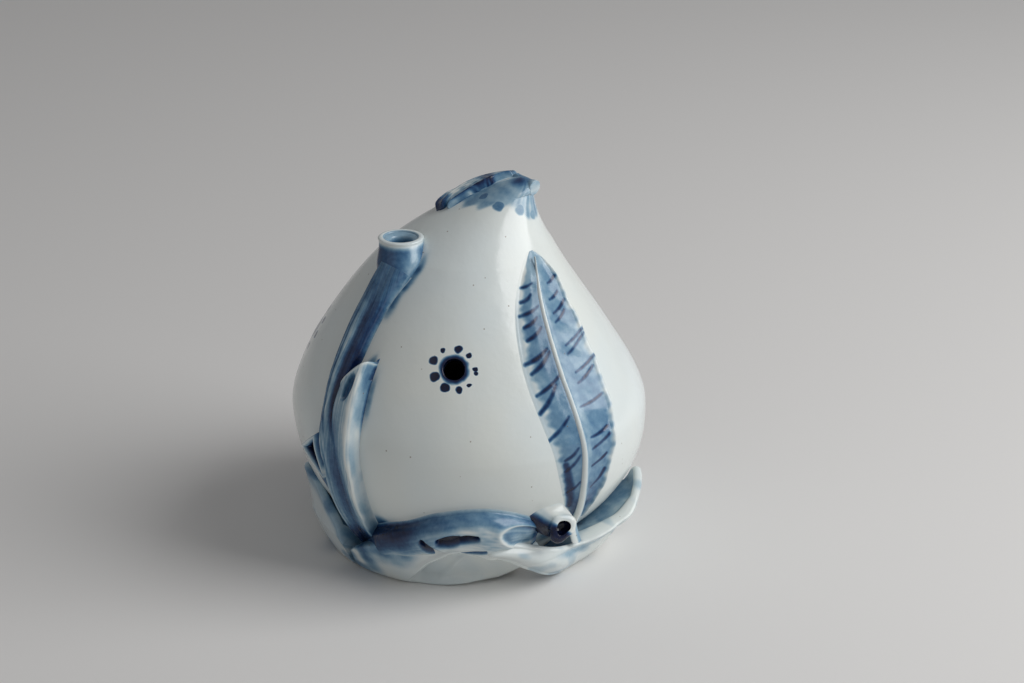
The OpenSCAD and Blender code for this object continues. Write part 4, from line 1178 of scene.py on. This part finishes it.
def cupped(name, span, edge, lip, open_out, shape, blue, laps=None, rows=260, tips=(0, 0)):
    """Leaf of the wreath between two angles.

    edge and lip are the heights of its lower edge and lip along it, open_out how far its lip
    leans out, and tips the shares of its length over which its ends are rounded. Its section runs
    up the outside, round the lip, down the inside and round the lower edge. Where it laps over its
    neighbour, laps gives how far out it lies.
    """
    t = np.linspace(0, 1, rows)[:, None]
    a = span[0] + (span[1] - span[0]) * t
    z0 = np.clip(through(edge, t[:, 0]), 0, None)[:, None]
    z1 = np.maximum(through(lip, t[:, 0])[:, None], z0 + 0.8)
    for tip, run in zip(tips, (t, 1 - t)):
        if tip:
            z1 = z0 + 0.8 + (z1 - z0 - 0.8) * quarter(run / tip)
    more = through(open_out, t[:, 0])[:, None]
    over = laps(a) if laps else 0 * t
    up = np.linspace(0, 1, 36)
    z = z0 + (z1 - z0) * up
    swell = shape(a, up, z)
    outer = np.maximum(cup_r(z, more) + over + swell, behind(z) + 1.0)
    pocket_from = np.maximum(pocket_z, z1 - 4.5)
    pocket = np.minimum(cup_r(z, more) - wreath_t, behind(z) + np.clip(z - pocket_from, 0, None))
    inner = np.maximum(behind(z), pocket)
    inner = np.where(over > 0.4, np.maximum(inner, cup_r(z, 0) - 0.2), inner)
    inner = inner + 0.8 * swell * (z > pocket_z)
    inner = np.minimum(inner, outer - 0.9)
    turn_up = np.radians(np.linspace(0, 180, 13))[1:-1]
    mid, half = (outer + inner) / 2, (outer - inner) / 2
    top_mid, top_half, low_mid, low_half = mid[:, -1:], half[:, -1:], mid[:, :1], half[:, :1]
    rise = np.minimum(top_half, 1.0) * 0.9
    sink = np.minimum(low_half, z0) * 0.9
    r = np.concatenate([outer, top_mid + top_half * np.cos(turn_up), inner[:, ::-1],
                        low_mid - low_half * np.cos(turn_up)], 1)
    height = np.concatenate([z, z[:, -1:] + rise * np.sin(turn_up), z[:, ::-1],
                             z0 - sink * np.sin(turn_up)], 1)
    angle = a + 0 * r
    turn = np.radians(angle)
    grid = np.stack([lean(height) + r * np.cos(turn), r * np.sin(turn), height], -1)
    share = np.concatenate([up, 1 + 0.0 * turn_up, up[::-1], 0 * turn_up])
    face = np.concatenate([0 * up, 0.5 + 0 * turn_up, 1 + 0 * up, 0 * turn_up])
    cobalt = np.clip(blue(angle, share, face, height, grid), 0, cobalt_most)
    ends = [cobalt[0].mean(), cobalt[-1].mean()]
    make_piece(name, *capped(grid), np.append(cobalt.ravel(), ends), "white_glaze", name)


front_curve_a = [-114, -108, -102, -96, -86, -79, -60]
front_curve_z = [0, 3.6, 8, 10.8, 12.3, 12.5, 12.5]


def front_shape(a, up, z):
    """The petal's face lies back under a curved step on its left, with a crease and a slow wave."""
    below = np.interp(a, front_curve_a, front_curve_z) - z
    step = -3.4 * smooth(below, -0.1, 0.7) * smooth(z, -1.0, 3.0) * smooth(a, -114, -107)
    step = step + 0.5 * bump(below, -0.9, 0.8) * smooth(a, -112, -104)
    crease = 0.5 * bump(a + 96 - (z - 4) * 1.3, 0, 1.6) * smooth(z, 0.5, 3) * fall(z, 7, 10)
    return step + crease + 0.3 * np.sin(np.radians(a) * 9) * up - 0.35 * bump(a, -122, 3) * up


def front_blue(a, up, face, z, at):
    """White outside, with blue run into its left end and its lip behind the base branch, and
    painted shade with it at the left end beside the branch's foot.
    """
    run_down_and_shade = 0.9 * fall(a, -116, -103) * smooth(up, 0.35, 0.85)
    wash = (0.4 + 0.25 * mottle(at, 3.0)) * np.maximum(fall(a, -130, -119), run_down_and_shade)
    on_lip = 0.15 * smooth(up, 0.8, 1.0) * smooth(face, 0.4, 0.6)
    return 0.01 + wash + on_lip + 0.02 * mottle(at, 5.0)


cupped("wreath_leaf_front", (-136, -60), [0, 0, 0, 0.1, 0.3, 1, 2.4, 4.2, 6.3],
       [5.5, 8.8, 10.8, 12, 12.6, 12.6, 12.2, 10.6, 8.2], [0, 0, 0, 0], front_shape, front_blue,
       rows=340)


def right_laps(a):
    """The leaf comes out of the base branch, lies over the front petal, and then leaves it."""
    return wreath_t * smooth(a, -89, -81) * fall(a, -62, -38)


def right_shape(a, up, z):
    """A thick round roll at first, then a lip turned outwards, with slow folds and a notch."""
    roll = (1.5 * np.sin(np.pi * up) - 0.5) * smooth(a, -88, -82) * fall(a, -56, -38)
    curl = 0.8 * smooth(up, 0.7, 1.0) * smooth(a, -52, -38)
    turn = np.radians(a)
    folds = 0.3 * np.sin(turn * 11 + 0.8) * up + 0.12 * np.sin(turn * 23) * up ** 2
    return roll + curl + folds * smooth(a, -62, -50) - 0.4 * bump(a, -31, 2.2) * up


def right_blue(a, up, face, z, at):
    """White outside with a light blue band under the lip; washed blue inside, with painted shade
    making it darkest low down in the pocket.
    """
    band = 0.22 * bump(up, 0.86, 0.12) * fall(face, 0.2, 0.5) * smooth(a, -60, -50)
    # The deeper blue low in the pocket is painted shade over the wash.
    inside = smooth(face, 0.6, 0.9) * (0.2 + 0.35 * fall(up, 0.55, 0.9) + 0.1 * mottle(at, 4.0))
    return 0.03 + band + inside + 0.12 * smooth(mottle(at, 5.0), 0.2, 1.0)


cupped("wreath_leaf_right", (-88, -4), [11.8, 11.1, 9.2, 6.2, 3.2, 1.2, 0.25, 0, 0, 0, 2, 5, 9],
       [12.8, 13.4, 13, 11.4, 9.5, 8.5, 8.2, 8.9, 10.1, 11.8, 13.9, 15.8, 17],
       [0, 0, 0, 0, 0, 0.4, 1.2, 2.6, 3.4, 3.6, 2.5, 0.9, -0.6], right_shape, right_blue,
       right_laps, 380, (0, 0.045))


def other_shape(a, up, z):
    """Slow folds of the leaves at the left and the back."""
    return 0.45 * np.sin(np.radians(a) * 10) * up + 0.25 * np.sin(np.radians(a) * 21 + 1) * up ** 2


def other_blue(a, up, face, z, at):
    """Grey white with blue spots outside and along the lip, washed blue inside."""
    spots = 0.4 * smooth(mottle(at, 6.0), 0.1, 1.3) + 0.22 * bump(up, 0.95, 0.12)
    return 0.04 + spots + smooth(face, 0.6, 0.9) * (0.36 + 0.14 * mottle(at, 4.0))


# The other three leaves: span, heights of lower edge and lip, lean of the lip, rounded ends
other_leaves = [
    ("wreath_leaf_left", (-186, -138), [1, 0, 0, 0], [14, 18, 15, 7], [-1.4, -1.2, -1, 0],
     (0.28, 0)),
    ("wreath_leaf_back_right", (0, 90), [0.5, 0, 0, 0], [8, 12, 13, 9], [0, 0, 0, 0], (0.18, 0.16)),
    ("wreath_leaf_back_left", (109, 172), [0, 0, 0, 0.5], [9, 12, 13, 8], [0, 0, 0, -1],
     (0.2, 0.22)),
]
for name, span, edge, lip, open_out, tips in other_leaves:
    cupped(name, span, edge, lip, open_out, other_shape, other_blue, tips=tips)

# The floor disc is cut from the same porcelain, trimmed on the wheel and left without glaze, so
# that it doesn't stick in the kiln. Its surface is matt, with faint turning rings and stains.
biscuit, biscuit_shader, (feed, node, reckon, ramp, mix) = new_material("unglazed_porcelain")
biscuit_place = node("ShaderNodeTexCoord").outputs["Object"]
stain = node("ShaderNodeTexNoise", Vector=biscuit_place, Scale=90.0, Detail=5.0)
clay = ramp(stain.outputs["Fac"], [(0.3, (0.52, 0.45, 0.37)), (0.62, (0.66, 0.62, 0.55))])
feed(biscuit_shader.inputs["Base Color"], clay)
biscuit_shader.inputs["Roughness"].default_value = 0.85
rings = node("ShaderNodeTexWave", Vector=biscuit_place, Scale=260.0, Distortion=1.5)
rings.wave_type = "RINGS"
rings.rings_direction = "Z"
scored = node("ShaderNodeBump", Height=rings.outputs["Fac"], Strength=0.3, Distance=0.0001)
feed(biscuit_shader.inputs["Normal"], scored.outputs["Normal"])
for place in bpy.data.objects["floor_disc"].material_slots:
    place.material = biscuit

# Pale studio table and soft lamps, not part of the object: one broad lamp to the right and above,
# as the window in the photograph, and a weak one to the left.
bpy.ops.mesh.primitive_plane_add(size=4, location=(0, 0, 0))
floor = bpy.context.object
floor_paint, floor_shader = new_material("floor_paint")[:2]
floor_shader.inputs["Base Color"].default_value = (0.80, 0.79, 0.775, 1)
floor_shader.inputs["Roughness"].default_value = 0.6
floor.data.materials.append(floor_paint)

camera_data = bpy.data.cameras.new("camera")
camera_data.lens = 85
camera_data.sensor_width = 36
camera = bpy.data.objects.new("camera", camera_data)
elevation, camera_far = np.radians(22.5), 0.565
camera_aim = Vector((0.01113, 0, 0.04715))
camera.location = camera_aim + Vector((0, -np.cos(elevation), np.sin(elevation))) * camera_far
camera.rotation_euler = (np.pi / 2 - elevation, 0, 0)
bpy.context.scene.collection.objects.link(camera)
bpy.context.scene.camera = camera
lamp_aim = Vector((0.005, 0, 0.04))


def lamp(name, at, size, power, colour):
    """Soft square lamp that faces the fruit."""
    data = bpy.data.lights.new(name, "AREA")
    data.size = size
    data.energy = power
    data.color = colour
    made = bpy.data.objects.new(name, data)
    made.location = at
    made.rotation_euler = (lamp_aim - Vector(at)).to_track_quat("-Z", "Y").to_euler()
    bpy.context.scene.collection.objects.link(made)


lamp("window", (0.62, -0.12, 0.50), 0.65, 5.3, (1.0, 1.0, 1.0))
lamp("fill", (-0.6, -0.5, 0.45), 0.6, 0.25, (1.0, 0.97, 0.93))
world = bpy.data.worlds.new("room")
world.use_nodes = True
feed, node, reckon, ramp, mix = bench(world.node_tree)
room = world.node_tree.nodes["Background"]
room.inputs["Color"].default_value = (0.92, 0.92, 0.94, 1)
room.inputs["Strength"].default_value = 0.22
seen = node("ShaderNodeBackground", Color=(0.80, 0.79, 0.78, 1), Strength=0.32)
paths = node("ShaderNodeLightPath").outputs
either = reckon("MAXIMUM", paths["Is Camera Ray"], paths["Is Glossy Ray"])[0]
either = reckon("MAXIMUM", either, paths["Is Transmission Ray"])[0]
mixed = node("ShaderNodeMixShader", Fac=either)
feed(mixed.inputs[1], room.outputs[0])
feed(mixed.inputs[2], seen.outputs[0])
feed(world.node_tree.nodes["World Output"].inputs["Surface"], mixed.outputs[0])
bpy.context.scene.world = world
bpy.context.scene.view_settings.view_transform = "Standard"
